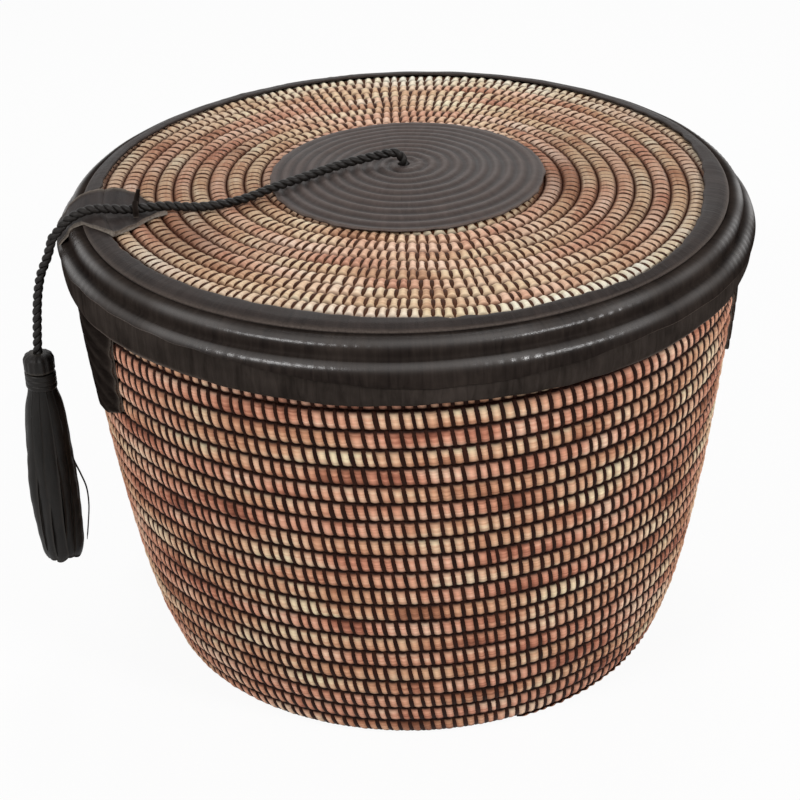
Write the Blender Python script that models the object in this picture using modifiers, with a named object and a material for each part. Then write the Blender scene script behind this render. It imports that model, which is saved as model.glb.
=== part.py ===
"""Lidded coiled-grass basket with black leather fittings and a hanging tassel.

The basket stands on the XY plane with its axis on +Z. Its side patches lie on
+X and -X, and the lid's tab, cord and tassel lie on -X. All sizes are metres.
"""
import math

import bmesh
import bpy
from mathutils import Vector

# Basket body
BODY_RADIUS = 0.1805          # widest point of the coiled wall
MOUTH_HEIGHT = 0.2545         # from the floor to the top of the last row
WALL_ROWS = 23                # coil rows from the floor to the mouth
WALL_THICKNESS = 0.0105       # thickness of the coil bundle
BASE_THICKNESS = 0.0100
ROW_GROOVE = 0.0014           # depth of the groove between two rows
# (height share of MOUTH_HEIGHT, radius share of BODY_RADIUS) of the row crests
WALL_SHAPE_SHARES = (
    (0.000, 0.800), (0.047, 0.827), (0.131, 0.864), (0.260, 0.902),
    (0.434, 0.941), (0.608, 0.971), (0.784, 0.997), (0.856, 1.000),
    (0.900, 0.986), (0.945, 0.980), (1.000, 0.975),
)
BASE_FLAT_SHARE = 0.955       # flat underside as a share of the base's crest radius

# Leather side patches, one on each side of the wall
PATCH_HALF_ANGLE = math.radians(24.5)
PATCH_THICKNESS = 0.0016
PATCH_DROP = 0.1025           # from the mouth down to the tongue's lowest edge
PATCH_CORNER_RISE = 0.030     # how far the corners of the tongue sit above it
PATCH_TOP_GAP = 0.0012        # below the mouth's top
PATCH_SEAT = 0.0005           # over the row crests
PATCH_COLUMNS = 10
PATCH_ROWS = 16

# Lid
LID_CLEARANCE = 0.0005        # round the widest point of the wall, inside the rim
RIM_SIDE_THICKNESS = 0.0090   # coils and leather of the rim's side
RIM_WIDTH = 0.0244            # from the rim's widest point in to the open weave
LID_EDGE_THICKNESS = 0.0085   # coils of the lid over the mouth
DISC_RADIUS = 0.0745          # leather disc in the middle
LID_CROWN = 0.0095            # rise of the lid's middle above its weave edge
CROWN_SHARE_AT_DISC = 0.48    # share of that rise left at the disc's edge
LID_ROW_PITCH = 0.00966       # width of one coil row of the lid
LID_THICKNESS = 0.0094
LID_ROW_GROOVE = 0.0012
DISC_THICKNESS = 0.0013
RIM_DEPTH = 0.0366            # from the weave edge down to the skirt's hem
RIM_LEATHER = 0.0014
# Leather rim outline: (share of the rim's width, share of RIM_DEPTH)
TOP_BAND_SHARES = ((0.000, 0.000), (0.189, 0.016), (0.361, 0.062), (0.393, 0.085))
ROLL_SHARES = (
    (0.412, 0.115), (0.516, 0.131), (0.615, 0.175), (0.697, 0.257),
    (0.754, 0.317), (0.844, 0.344), (0.926, 0.410), (0.984, 0.503),
    (1.000, 0.596), (0.988, 0.683),
)
ROLL_VALLEY = 4               # the roll's point in the hollow between its beads
SKIRT_SHARES = ((0.934, 0.694), (0.939, 0.779), (0.926, 0.874), (0.898, 0.945), (0.861, 1.000))

# Leather tab that carries the cord over the rim
TAB_TIP_REACH = 0.0346        # from the weave's edge inwards to the tip
TAB_WIDEST_REACH = 0.0086     # from the weave's edge inwards to the widest place
TAB_THICKNESS = 0.0016
TAB_HALF_WIDTH = 0.0270
TAB_OUTER_HALF_WIDTH = 0.0165
TAB_TIP_HALF_WIDTH = 0.0015
TAB_END_POINT = 6             # the roll's point where the tab ends
TAB_ROWS = 12
TAB_COLUMNS = 4

# Cord, its knot under the lid and the thong that ties it to the tab
CORD_DIAMETER = 0.0054
CORD_HOLE_CLEARANCE = 0.0004
CORD_SPACING = 0.0042         # between two points of the cord's tube
KNOT_RADIUS = 0.0058
KNOT_HEIGHT = 0.0100
TIE_THICKNESS = 0.0020
TIE_RADIUS_SHARE = 0.780      # where the tie crosses the cord, of LID_RADIUS
# Cord over the lid: (radius share of LID_RADIUS, angle from -X, lift in cord radii)
CORD_LID_ROUTE = (
    (0.014, 0.0, 2.30), (0.038, -3.0, 2.55), (0.075, -6.0, 2.10), (0.152, -5.0, 1.35),
    (0.218, 2.0, 1.20), (0.375, 9.0, 1.12), (0.490, 11.0, 1.12), (0.600, 9.6, 1.12),
    (0.700, 7.0, 1.15), (0.790, 5.6, 1.15), (0.872, 4.2, 1.20), (0.912, 3.6, 1.35),
    (0.945, 3.1, 1.45), (0.970, 2.8, 1.40),
)
# Hanging cord: (outwards, down) from the point where it leaves the rim
CORD_HANG_ROUTE = (
    (0.0030, 0.0090), (0.0082, 0.0205), (0.0114, 0.0350), (0.0132, 0.0500),
)
CORD_EXIT_OUT = 0.0020        # past the rim's widest point, where the cord turns down
CORD_EXIT_DROP = 0.0114       # from the leather at the weave's edge down to that place
CORD_EXIT_SIDE = -0.0085      # towards -Y
SOCKET_RADIUS = 0.0030        # ball-shaped seat at the two swivelling ends
CORD_END_OVERRUN = 0.0009     # how far an end reaches past its swivel point

# Tassel
TASSEL_OUT = 0.0148           # tassel's axis, outwards from the cord's exit
TASSEL_DROP = 0.0662          # its swivel point, below the cord's exit
TASSEL_LENGTH = 0.1350        # from the swivel point to the thongs' ends
CAP_RADIUS = 0.0086
CAP_TOP = 0.0015              # the cap's top lies this far below the swivel point
CAP_HEIGHT = 0.0084
BINDING_RADIUS = 0.0094
BINDING_BORE = 0.0081
BINDING_HEIGHT = 0.0100
BINDING_TURNS = 3
CORE_RADIUS = 0.0034
CORE_LENGTH = 0.0180
THONG_THICKNESS = 0.0012
THONG_ROWS = 10
OUTER_THONGS = 12
INNER_THONGS = 6
OUTER_THONG_SEAT = 0.0078     # outer face inside the binding
INNER_THONG_SEAT = 0.0054
OUTER_THONG_SPREAD = 0.0140
INNER_THONG_SPREAD = 0.0100
OUTER_THONG_WIDTH = 0.0060
INNER_THONG_WIDTH = 0.0080
OUTER_THONG_NECK = 0.0032     # width inside the binding
INNER_THONG_NECK = 0.0038
INNER_THONG_LIFT = 0.0030     # the inner thongs end this much higher
# (share of the thong's length, share of its spread and of its width)
THONG_SHAPE_SHARES = (
    (0.00, 0.00), (0.10, 0.06), (0.18, 0.52), (0.28, 0.76), (0.42, 0.92),
    (0.58, 1.00), (0.70, 0.98), (0.84, 0.84), (0.93, 0.66), (1.00, 0.46),
)

# Shared values
SEAT_GAP = 0.0003             # between pieces that touch on the real basket
RING_STEPS = 40               # segments of the large turned pieces
SMALL_RING_STEPS = 24
CORD_RADIUS = CORD_DIAMETER / 2
CORD_HOLE_RADIUS = CORD_RADIUS + CORD_HOLE_CLEARANCE
LEATHER_LAYER = RIM_LEATHER + SEAT_GAP
RIM_INNER_RADIUS = BODY_RADIUS + LID_CLEARANCE
LID_RADIUS = RIM_INNER_RADIUS + RIM_SIDE_THICKNESS
WEAVE_EDGE_RADIUS = LID_RADIUS - RIM_WIDTH
LID_CEILING = MOUTH_HEIGHT + SEAT_GAP
WEAVE_EDGE_HEIGHT = LID_CEILING + LID_EDGE_THICKNESS + LEATHER_LAYER
PATCH_BOTTOM = MOUTH_HEIGHT - PATCH_DROP
TAB_TIP_RADIUS = WEAVE_EDGE_RADIUS - TAB_TIP_REACH
TAB_WIDEST_RADIUS = WEAVE_EDGE_RADIUS - TAB_WIDEST_REACH
CORD_EXIT_RADIUS = LID_RADIUS + CORD_EXIT_OUT
CORD_EXIT_HEIGHT = WEAVE_EDGE_HEIGHT - CORD_EXIT_DROP
MERGE_DISTANCE = 0.00001


def start_scene():
    """Empty the scene and make the collections and the materials' register."""
    for obj in list(bpy.data.objects):
        bpy.data.objects.remove(obj, do_unlink=True)
    scene = bpy.context.scene
    made = {}
    for name in ("lidded_basket", "cutters"):
        made[name] = bpy.data.collections.new(name)
        scene.collection.children.link(made[name])
    return made["lidded_basket"], made["cutters"]


def principled(name, color, roughness):
    """A material with one Principled BSDF."""
    material = bpy.data.materials.new(name)
    material.use_nodes = True
    shader = material.node_tree.nodes["Principled BSDF"]
    shader.inputs["Base Color"].default_value = (*color, 1.0)
    shader.inputs["Roughness"].default_value = roughness
    shader.inputs["Metallic"].default_value = 0.0
    return material


def smooth_value(table, x):
    """Smooth curve through a table of (x, y) pairs, read at x."""
    if x <= table[0][0]:
        return table[0][1]
    if x >= table[-1][0]:
        return table[-1][1]

    def slope(i):
        low, high = max(i - 1, 0), min(i + 1, len(table) - 1)
        return (table[high][1] - table[low][1]) / (table[high][0] - table[low][0])

    for i in range(len(table) - 1):
        (x0, y0), (x1, y1) = table[i], table[i + 1]
        if x <= x1:
            break
    span = x1 - x0
    t = (x - x0) / span
    return (
        (2 * t ** 3 - 3 * t ** 2 + 1) * y0
        + (t ** 3 - 2 * t ** 2 + t) * span * slope(i)
        + (3 * t ** 2 - 2 * t ** 3) * y1
        + (t ** 3 - t ** 2) * span * slope(i + 1)
    )


def smooth_path(points, spacing):
    """Even points along a Catmull-Rom curve through the given points."""
    knots = [Vector(p) for p in points]
    knots = [2 * knots[0] - knots[1]] + knots + [2 * knots[-1] - knots[-2]]
    fine = []
    for a, b, c, d in zip(knots, knots[1:], knots[2:], knots[3:]):
        for step in range(16):
            t = step / 16
            fine.append(0.5 * (
                2 * b + (c - a) * t + (2 * a - 5 * b + 4 * c - d) * t ** 2
                + (3 * b - a - 3 * c + d) * t ** 3
            ))
    fine.append(knots[-2])
    lengths = [0.0]
    for a, b in zip(fine, fine[1:]):
        lengths.append(lengths[-1] + (b - a).length)
    count = max(2, round(lengths[-1] / spacing))
    path, i = [], 0
    for step in range(count + 1):
        want = lengths[-1] * step / count
        while i < len(fine) - 2 and lengths[i + 1] < want:
            i += 1
        share = (want - lengths[i]) / (lengths[i + 1] - lengths[i])
        path.append(fine[i].lerp(fine[i + 1], share))
    return path


def offset_line(points, distance):
    """Move an outline that runs outwards and down, inwards by a distance."""
    moved = []
    for i, (r, z) in enumerate(points):
        before = points[max(i - 1, 0)]
        after = points[min(i + 1, len(points) - 1)]
        run, rise = after[0] - before[0], after[1] - before[1]
        size = math.hypot(run, rise)
        moved.append((r + rise / size * distance, z - run / size * distance))
    return moved


def wall_radius(z):
    """Radius of the row crests at a height."""
    return BODY_RADIUS * smooth_value(WALL_SHAPE_SHARES, z / MOUTH_HEIGHT)


def weave_height(r):
    """Height of the lid's row crests at a radius, out to the rim's shoulder."""
    edge = WEAVE_EDGE_HEIGHT - LEATHER_LAYER
    disc_rise = LID_CROWN * CROWN_SHARE_AT_DISC
    if r < DISC_RADIUS:
        return edge + disc_rise + (LID_CROWN - disc_rise) * (1 - (r / DISC_RADIUS) ** 2)
    return edge + disc_rise * (WEAVE_EDGE_RADIUS - r) / (WEAVE_EDGE_RADIUS - DISC_RADIUS)


def rim_points(shares):
    """Real outline of one leather strip of the rim."""
    return [(WEAVE_EDGE_RADIUS + RIM_WIDTH * a, WEAVE_EDGE_HEIGHT - RIM_DEPTH * b)
            for a, b in shares]


RIM_OUTLINE = rim_points(TOP_BAND_SHARES + ROLL_SHARES + SKIRT_SHARES)


def lid_top_line():
    """Outline that the tab and the cord lie on, from the weave to the rim's face.

    It bridges the hollow between the two beads of the roll.
    """
    line = [(WEAVE_EDGE_RADIUS * step / TAB_ROWS, weave_height(WEAVE_EDGE_RADIUS * step / TAB_ROWS))
            for step in range(TAB_ROWS)]
    beads = [share for share in ROLL_SHARES if share is not ROLL_SHARES[ROLL_VALLEY]]
    return line + rim_points(TOP_BAND_SHARES[:3]) + rim_points(beads[1:])


def point_on_line(line, start_r, distance, height):
    """Point a distance along an outline from a radius, and a height above it."""
    for i in range(len(line) - 1):
        if line[i + 1][0] >= start_r:
            break
    share = (start_r - line[i][0]) / (line[i + 1][0] - line[i][0])
    here = (start_r, line[i][1] + (line[i + 1][1] - line[i][1]) * share)
    left = distance
    while True:
        goal = line[i + 1]
        step = math.hypot(goal[0] - here[0], goal[1] - here[1])
        if step >= left or i + 2 >= len(line):
            break
        left -= step
        here = goal
        i += 1
    run, rise = (goal[0] - here[0]) / step, (goal[1] - here[1]) / step
    return here[0] + run * left - rise * height, here[1] + rise * left + run * height


def add_object(name, data, material, collection, parent=None):
    """Link an object, name it, give it its material and parent it in place."""
    obj = bpy.data.objects.new(name, data)
    data.name = name
    if not data.materials:
        data.materials.append(material)
    collection.objects.link(obj)
    if parent is not None:
        obj.parent = parent
        obj.matrix_parent_inverse = parent.matrix_world.inverted()
    return obj


def shade(data):
    """Smooth shading with sharp edges where the form turns."""
    data.shade_smooth()
    data.set_sharp_from_angle(angle=math.radians(50))


def turned(name, profile, steps, material, collection, closed=False, parent=None, axis=(0, 0)):
    """Turn a profile of (radius, height) about a vertical axis."""
    mesh = bpy.data.meshes.new(name)
    verts = [(r, 0.0, z) for r, z in profile]
    edges = [(i, i + 1) for i in range(len(verts) - 1)]
    if closed:
        edges.append((len(verts) - 1, 0))
    mesh.from_pydata(verts, edges, [])
    obj = add_object(name, mesh, material, collection, parent)
    obj.location = (axis[0], axis[1], 0.0)
    screw = obj.modifiers.new("turn", "SCREW")
    screw.axis = "Z"
    screw.angle = math.tau
    screw.steps = steps
    screw.render_steps = steps
    screw.use_merge_vertices = True
    screw.merge_threshold = MERGE_DISTANCE
    screw.use_smooth_shade = True
    return obj


def sheet(name, columns, rows, place, thickness, material, collection, parent=None):
    """A bent sheet: a grid placed by a rule, thickened on its outer side."""
    mesh = bpy.data.meshes.new(name)
    form = bmesh.new()
    bmesh.ops.create_grid(form, x_segments=columns, y_segments=rows, size=1.0)
    for vert in form.verts:
        vert.co = place(vert.co.x, (vert.co.y + 1) / 2)
    bmesh.ops.recalc_face_normals(form, faces=form.faces)
    if sum(face.normal.dot(face.calc_center_median()) for face in form.faces) < 0:
        bmesh.ops.reverse_faces(form, faces=form.faces)
    form.to_mesh(mesh)
    form.free()
    shade(mesh)
    obj = add_object(name, mesh, material, collection, parent)
    thicken(obj, thickness)
    return obj


def thicken(obj, thickness):
    """Give a sheet its thickness, outwards."""
    solid = obj.modifiers.new("thickness", "SOLIDIFY")
    solid.thickness = thickness
    solid.offset = 1.0
    solid.use_even_offset = False


def cord_tube(name, path, material, collection, parent=None):
    """A cord's stretch as a round tube with closed ends."""
    curve = bpy.data.curves.new(name, "CURVE")
    curve.dimensions = "3D"
    curve.bevel_depth = CORD_RADIUS
    curve.bevel_resolution = 2
    curve.use_fill_caps = True
    curve.render_resolution_u = 0
    spline = curve.splines.new("POLY")
    spline.points.add(len(path) - 1)
    for point, place in zip(spline.points, path):
        point.co = (*place, 1.0)
    return add_object(name, curve, material, collection, parent)


def as_mesh(obj, collection):
    """Replace a curve object by the mesh that it draws, with its caps welded."""
    depsgraph = bpy.context.evaluated_depsgraph_get()
    mesh = bpy.data.meshes.new_from_object(obj.evaluated_get(depsgraph))
    form = bmesh.new()
    form.from_mesh(mesh)
    bmesh.ops.remove_doubles(form, verts=form.verts, dist=MERGE_DISTANCE)
    bmesh.ops.recalc_face_normals(form, faces=form.faces)
    form.to_mesh(mesh)
    form.free()
    name, parent, place = obj.name, obj.parent, obj.matrix_world.copy()
    material = obj.data.materials[0]
    bpy.data.objects.remove(obj, do_unlink=True)
    made = add_object(name, mesh, material, collection, parent)
    made.matrix_world = place
    return made


def ball_cutter(name, center, collection):
    """The ball that hollows a swivelling end."""
    mesh = bpy.data.meshes.new(name)
    form = bmesh.new()
    bmesh.ops.create_icosphere(form, subdivisions=2, radius=SOCKET_RADIUS)
    form.to_mesh(mesh)
    form.free()
    cutter = bpy.data.objects.new(name, mesh)
    cutter.location = center
    cutter.hide_render = True
    cutter.display_type = "WIRE"
    collection.objects.link(cutter)
    return cutter


def hollow(obj, cutter):
    """Cut an object by a cutter."""
    cut = obj.modifiers.new("socket", "BOOLEAN")
    cut.operation = "DIFFERENCE"
    cut.solver = "EXACT"
    cut.object = cutter


def basket_profile():
    """Inner floor, inner wall, mouth, ribbed outer wall and flat underside."""
    row = MOUTH_HEIGHT / WALL_ROWS
    profile = [(0.0, BASE_THICKNESS)]
    floor_edge = wall_radius(BASE_THICKNESS) - WALL_THICKNESS
    profile.append((floor_edge - ROW_GROOVE, BASE_THICKNESS))
    for step in (2, 5, 9, 13, 17, 20):
        z = MOUTH_HEIGHT * step / WALL_ROWS
        profile.append((wall_radius(z) - WALL_THICKNESS, z))
    lip = wall_radius(MOUTH_HEIGHT - row / 2)
    profile.append((lip - WALL_THICKNESS, MOUTH_HEIGHT - row / 2))
    profile.append((lip - WALL_THICKNESS * 0.72, MOUTH_HEIGHT))
    profile.append((lip - WALL_THICKNESS * 0.28, MOUTH_HEIGHT))
    profile.append((lip, MOUTH_HEIGHT - row / 2))
    for index in range(WALL_ROWS - 1, 0, -1):
        z = row * index
        profile.append((wall_radius(z) - ROW_GROOVE, z))
        z = row * (index - 0.5)
        profile.append((wall_radius(z), z))
    profile.append((wall_radius(0.0) * BASE_FLAT_SHARE, 0.0))
    profile.append((0.0, 0.0))
    return profile


def lid_coil_profile():
    """Ribbed top, the rows under the leather rim, and the plain inside."""
    profile = [(CORD_HOLE_RADIUS, weave_height(0.0))]
    profile.append((DISC_RADIUS / 2, weave_height(DISC_RADIUS / 2)))
    first = math.ceil(DISC_RADIUS / LID_ROW_PITCH) - 1
    last = math.floor(WEAVE_EDGE_RADIUS / LID_ROW_PITCH)
    for index in range(first, last):
        r = LID_ROW_PITCH * index
        profile.append((r, weave_height(r) - LID_ROW_GROOVE))
        r = LID_ROW_PITCH * (index + 0.5)
        profile.append((r, weave_height(r)))
    profile.append((LID_ROW_PITCH * last, weave_height(LID_ROW_PITCH * last) - LID_ROW_GROOVE))
    under = offset_line(RIM_OUTLINE, RIM_LEATHER + 2 * SEAT_GAP)
    profile += [point for point in under if point[0] > WEAVE_EDGE_RADIUS + SEAT_GAP]
    hem = WEAVE_EDGE_HEIGHT - RIM_DEPTH
    profile.append((RIM_INNER_RADIUS, hem))
    profile.append((RIM_INNER_RADIUS, LID_CEILING))
    mouth = wall_radius(MOUTH_HEIGHT) - 1.4 * WALL_THICKNESS
    profile.append((mouth, LID_CEILING))
    profile.append((DISC_RADIUS, weave_height(DISC_RADIUS) - LID_THICKNESS))
    profile.append((CORD_HOLE_RADIUS, weave_height(0.0) - LID_THICKNESS))
    return profile


def strip_profile(shares, back_shares=None):
    """Closed section of one leather strip of the rim."""
    front = rim_points(shares)
    back = offset_line(rim_points(back_shares or shares), RIM_LEATHER)
    return front + back[::-1]


def disc_profile():
    """Closed section of the centre disc, lying on the weave."""
    radii = [CORD_HOLE_RADIUS, DISC_RADIUS * 0.35, DISC_RADIUS * 0.7, DISC_RADIUS]
    under = [(r, weave_height(r) + SEAT_GAP) for r in radii]
    top = [(r, weave_height(r) + SEAT_GAP + DISC_THICKNESS) for r in radii]
    top[-1] = (DISC_RADIUS - DISC_THICKNESS / 2, top[-1][1])
    edge = (DISC_RADIUS, top[-1][1] - DISC_THICKNESS / 2)
    return top + [edge] + under[::-1]


def patch_place(side):
    """Place a point of the side patch, on +X for side 1 and on -X for side -1."""
    def place(across, up):
        angle = across * PATCH_HALF_ANGLE
        low = PATCH_BOTTOM + PATCH_CORNER_RISE * abs(across) ** 3
        z = low + (MOUTH_HEIGHT - PATCH_TOP_GAP - low) * up
        r = wall_radius(z) + PATCH_SEAT
        return (side * r * math.cos(angle), side * r * math.sin(angle), z)
    return place


def tab_place(across, along):
    """Place a point of the rim tab, from its tip on the weave to its end on the rim."""
    line = lid_top_line()
    outer_end = WEAVE_EDGE_RADIUS + RIM_WIDTH * ROLL_SHARES[TAB_END_POINT][0]
    bent = [(TAB_TIP_RADIUS, weave_height(TAB_TIP_RADIUS))]
    bent += [point for point in line if TAB_TIP_RADIUS < point[0] <= outer_end + MERGE_DISTANCE]
    length = sum(math.hypot(b[0] - a[0], b[1] - a[1]) for a, b in zip(bent, bent[1:]))
    r, z = point_on_line(line, TAB_TIP_RADIUS, length * along, 2 * SEAT_GAP)
    widest = (TAB_WIDEST_RADIUS - TAB_TIP_RADIUS) / length
    if along < widest:
        half = TAB_TIP_HALF_WIDTH + (TAB_HALF_WIDTH - TAB_TIP_HALF_WIDTH) * along / widest
    else:
        half = TAB_HALF_WIDTH + (TAB_OUTER_HALF_WIDTH - TAB_HALF_WIDTH) * (along - widest) / (1 - widest)
    angle = across * half / r
    return (-r * math.cos(angle), -r * math.sin(angle), z)


def over_lid(r, height):
    """Point above the top of the lid, square to it, clear of the disc and the tab."""
    line = lid_top_line()
    for a, b in zip(line, line[1:]):
        if b[0] >= r:
            break
    cover = 0.0
    if r < DISC_RADIUS:
        cover = SEAT_GAP + DISC_THICKNESS
    elif r > TAB_TIP_RADIUS - CORD_DIAMETER:
        cover = 2 * SEAT_GAP + TAB_THICKNESS
    size = math.hypot(b[0] - a[0], b[1] - a[1])
    run, rise = (b[0] - a[0]) / size, (b[1] - a[1]) / size
    lift = cover + height
    return r - rise * lift, a[1] + rise / run * (r - a[0]) + run * lift


def cord_routes():
    """Route of the cord over the lid, and of its hanging stretch."""
    knot_top = weave_height(0.0) - LID_THICKNESS - SEAT_GAP
    disc_top = weave_height(0.0) + SEAT_GAP + DISC_THICKNESS
    over = [Vector((0.0, 0.0, knot_top - SEAT_GAP)), Vector((0.0, 0.0, (knot_top + disc_top) / 2)),
            Vector((0.0, 0.0, disc_top + CORD_RADIUS / 2))]
    for share, degrees, lift in CORD_LID_ROUTE:
        r, z = over_lid(share * LID_RADIUS, CORD_RADIUS * lift)
        angle = math.radians(degrees)
        over.append(Vector((-r * math.cos(angle), -r * math.sin(angle), z)))
    leave = Vector((-CORD_EXIT_RADIUS, CORD_EXIT_SIDE, CORD_EXIT_HEIGHT))
    end = leave + Vector((-TASSEL_OUT, 0.0, -TASSEL_DROP))
    hang = [leave + Vector((-out, 0.0, -down)) for out, down in CORD_HANG_ROUTE]
    whole = smooth_path(over + [leave] + hang + [end], CORD_SPACING)
    split = min(range(len(whole)), key=lambda i: (whole[i] - leave).length)
    whole[split] = leave
    turn = (whole[split + 1] - leave).normalized()
    lid_part = whole[:split + 1] + [leave + turn * CORD_END_OVERRUN]
    down = Vector((0.0, 0.0, -1.0))
    hang_part = whole[split:] + [end + down * CORD_END_OVERRUN]
    return lid_part, hang_part, leave, end


def thong_place(seat, spread, neck, width, length, top):
    """Rule that places a thong's points about the tassel's axis."""
    def place(across, up):
        share = 1 - up
        bulge = smooth_value(THONG_SHAPE_SHARES, share)
        r = seat + (spread - seat) * bulge
        half = (neck + (width - neck) * bulge) / 2
        angle = across * half / r
        return (r * math.cos(angle), r * math.sin(angle), -top - length * share)
    return place


def build():
    """Model the whole basket."""
    model, cutters = start_scene()
    grass = principled("coiled_grass", (0.62, 0.38, 0.25), 0.75)
    leather = principled("black_leather", (0.045, 0.040, 0.038), 0.45)
    matte = principled("matte_leather", (0.10, 0.088, 0.082), 0.62)
    cording = principled("twisted_leather_cord", (0.035, 0.030, 0.028), 0.55)

    lid_frame = bpy.data.objects.new("lid_frame", None)
    lid_frame.location = (0.0, 0.0, MOUTH_HEIGHT)
    model.objects.link(lid_frame)
    lid_route, hang_route, leave, end = cord_routes()
    cord_pivot = bpy.data.objects.new("cord_pivot", None)
    cord_pivot.location = leave
    model.objects.link(cord_pivot)
    tassel_pivot = bpy.data.objects.new("tassel_pivot", None)
    tassel_pivot.location = end
    model.objects.link(tassel_pivot)
    bpy.context.view_layer.update()

    # Basket
    turned("basket_coil", basket_profile(), RING_STEPS, grass, model)
    for name, side in (("side_patch_right", 1), ("side_patch_left", -1)):
        sheet(name, PATCH_COLUMNS, PATCH_ROWS, patch_place(side), PATCH_THICKNESS, leather, model)

    # Lid
    turned("lid_coil", lid_coil_profile(), RING_STEPS, grass, model, closed=True, parent=lid_frame)
    turned("rim_top_band", strip_profile(TOP_BAND_SHARES), RING_STEPS, matte, model, True, lid_frame)
    turned("rim_roll", strip_profile(ROLL_SHARES, ROLL_SHARES[::2] + ROLL_SHARES[-1:]),
           RING_STEPS, leather, model, True, lid_frame)
    turned("rim_skirt", strip_profile(SKIRT_SHARES), RING_STEPS, leather, model, True, lid_frame)
    turned("lid_disc", disc_profile(), RING_STEPS, matte, model, True, lid_frame)
    sheet("rim_tab", TAB_COLUMNS, TAB_ROWS, tab_place, TAB_THICKNESS, leather, model, lid_frame)

    # Cord over the lid, its knot and its tie
    cord_tube("lid_cord", lid_route, cording, model, lid_frame)
    knot = bpy.data.meshes.new("cord_knot")
    form = bmesh.new()
    bmesh.ops.create_uvsphere(form, u_segments=16, v_segments=8, radius=KNOT_RADIUS)
    bmesh.ops.scale(form, verts=form.verts, vec=(1.0, 1.0, KNOT_HEIGHT / (2 * KNOT_RADIUS)))
    form.to_mesh(knot)
    form.free()
    shade(knot)
    knot_object = add_object("cord_knot", knot, cording, model, lid_frame)
    knot_object.location = (0.0, 0.0, lid_route[0].z - SEAT_GAP - KNOT_HEIGHT / 2)

    nearest = min(lid_route, key=lambda p: abs(math.hypot(p.x, p.y) - TIE_RADIUS_SHARE * LID_RADIUS))
    index = lid_route.index(nearest)
    ahead = (lid_route[index + 1] - lid_route[index - 1]).normalized()
    side = Vector((-ahead.y, ahead.x, 0.0)).normalized()
    up = side.cross(ahead) if side.cross(ahead).z > 0 else ahead.cross(side)
    reach = CORD_RADIUS + SEAT_GAP + TIE_THICKNESS / 2
    foot = CORD_RADIUS - TIE_THICKNESS / 2
    arch = [nearest + side * reach - up * foot]
    for step in range(9):
        angle = math.pi * step / 8
        arch.append(nearest + side * reach * math.cos(angle) + up * reach * math.sin(angle))
    arch.append(nearest - side * reach - up * foot)
    tie = cord_tube("tab_thong", arch, leather, model, lid_frame)
    tie.data.bevel_depth = TIE_THICKNESS / 2

    # Hanging cord
    hanging = cord_tube("hang_cord", hang_route, cording, model, cord_pivot)
    hanging = as_mesh(hanging, model)
    hollow(hanging, ball_cutter("exit_ball", leave, cutters))

    # Tassel, its pieces measured down from the swivel point
    axis = (end.x, end.y)
    cap_top = end.z - CAP_TOP
    cap_foot = cap_top - CAP_HEIGHT
    shoulder = CAP_HEIGHT * 0.35
    cap = turned("tassel_cap", [
        (0.0, cap_top), (CAP_RADIUS * 0.62, cap_top), (CAP_RADIUS * 0.90, cap_top - shoulder * 0.4),
        (CAP_RADIUS, cap_top - shoulder), (CAP_RADIUS, cap_foot), (0.0, cap_foot),
    ], SMALL_RING_STEPS, leather, model, parent=tassel_pivot, axis=axis)
    hollow(cap, ball_cutter("cap_ball", end, cutters))

    binding_top = cap_foot - SEAT_GAP
    turn_height = BINDING_HEIGHT / BINDING_TURNS
    groove = (BINDING_RADIUS - BINDING_BORE) / 2
    ring = []
    for index in range(BINDING_TURNS):
        ring.append((BINDING_RADIUS - groove, binding_top - turn_height * index))
        ring.append((BINDING_RADIUS, binding_top - turn_height * (index + 0.5)))
    ring.append((BINDING_RADIUS - groove, binding_top - BINDING_HEIGHT))
    ring += [(BINDING_BORE, binding_top - BINDING_HEIGHT), (BINDING_BORE, binding_top)]
    turned("tassel_binding", ring, SMALL_RING_STEPS, leather, model, True, tassel_pivot, axis)
    turned("tassel_core", [
        (0.0, binding_top), (CORE_RADIUS, binding_top),
        (CORE_RADIUS, binding_top - CORE_LENGTH), (0.0, binding_top - CORE_LENGTH),
    ], SMALL_RING_STEPS // 2, cording, model, parent=tassel_pivot, axis=axis)

    head = end.z - binding_top
    groups = (
        ("outer", OUTER_THONGS, OUTER_THONG_SEAT, OUTER_THONG_SPREAD, OUTER_THONG_NECK,
         OUTER_THONG_WIDTH, TASSEL_LENGTH - head, 0.0),
        ("inner", INNER_THONGS, INNER_THONG_SEAT, INNER_THONG_SPREAD, INNER_THONG_NECK,
         INNER_THONG_WIDTH, TASSEL_LENGTH - head - INNER_THONG_LIFT, 0.5),
    )
    for kind, count, seat, spread, neck, width, length, phase in groups:
        place = thong_place(seat - THONG_THICKNESS, spread - THONG_THICKNESS, neck, width, length, head)
        first = sheet(f"thong_{kind}_01", 2, THONG_ROWS, place, THONG_THICKNESS, leather, model, tassel_pivot)
        for number in range(count):
            thong = first
            if number:
                thong = add_object(f"thong_{kind}_{number + 1:02d}", first.data, leather, model, tassel_pivot)
                thicken(thong, THONG_THICKNESS)
            thong.location = end
            thong.rotation_euler = (0.0, 0.0, math.tau * (number + phase) / count)

    print("cord over the lid", round(path_length(lid_route), 4), "hanging", round(path_length(hang_route), 4))
    print("cord exit", [round(v, 5) for v in leave], "tassel swivel", [round(v, 5) for v in end])


def path_length(path):
    """Length of a line of points."""
    return sum((b - a).length for a, b in zip(path, path[1:]))


build()
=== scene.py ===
"""Looks of the lidded coiled-grass basket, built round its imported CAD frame.

Metres, in the CAD's frame: the basket stands on XY, its cord and tassel lie on -X.
"""
import math

import bpy
import numpy as np
from mathutils import Matrix, Vector


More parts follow.
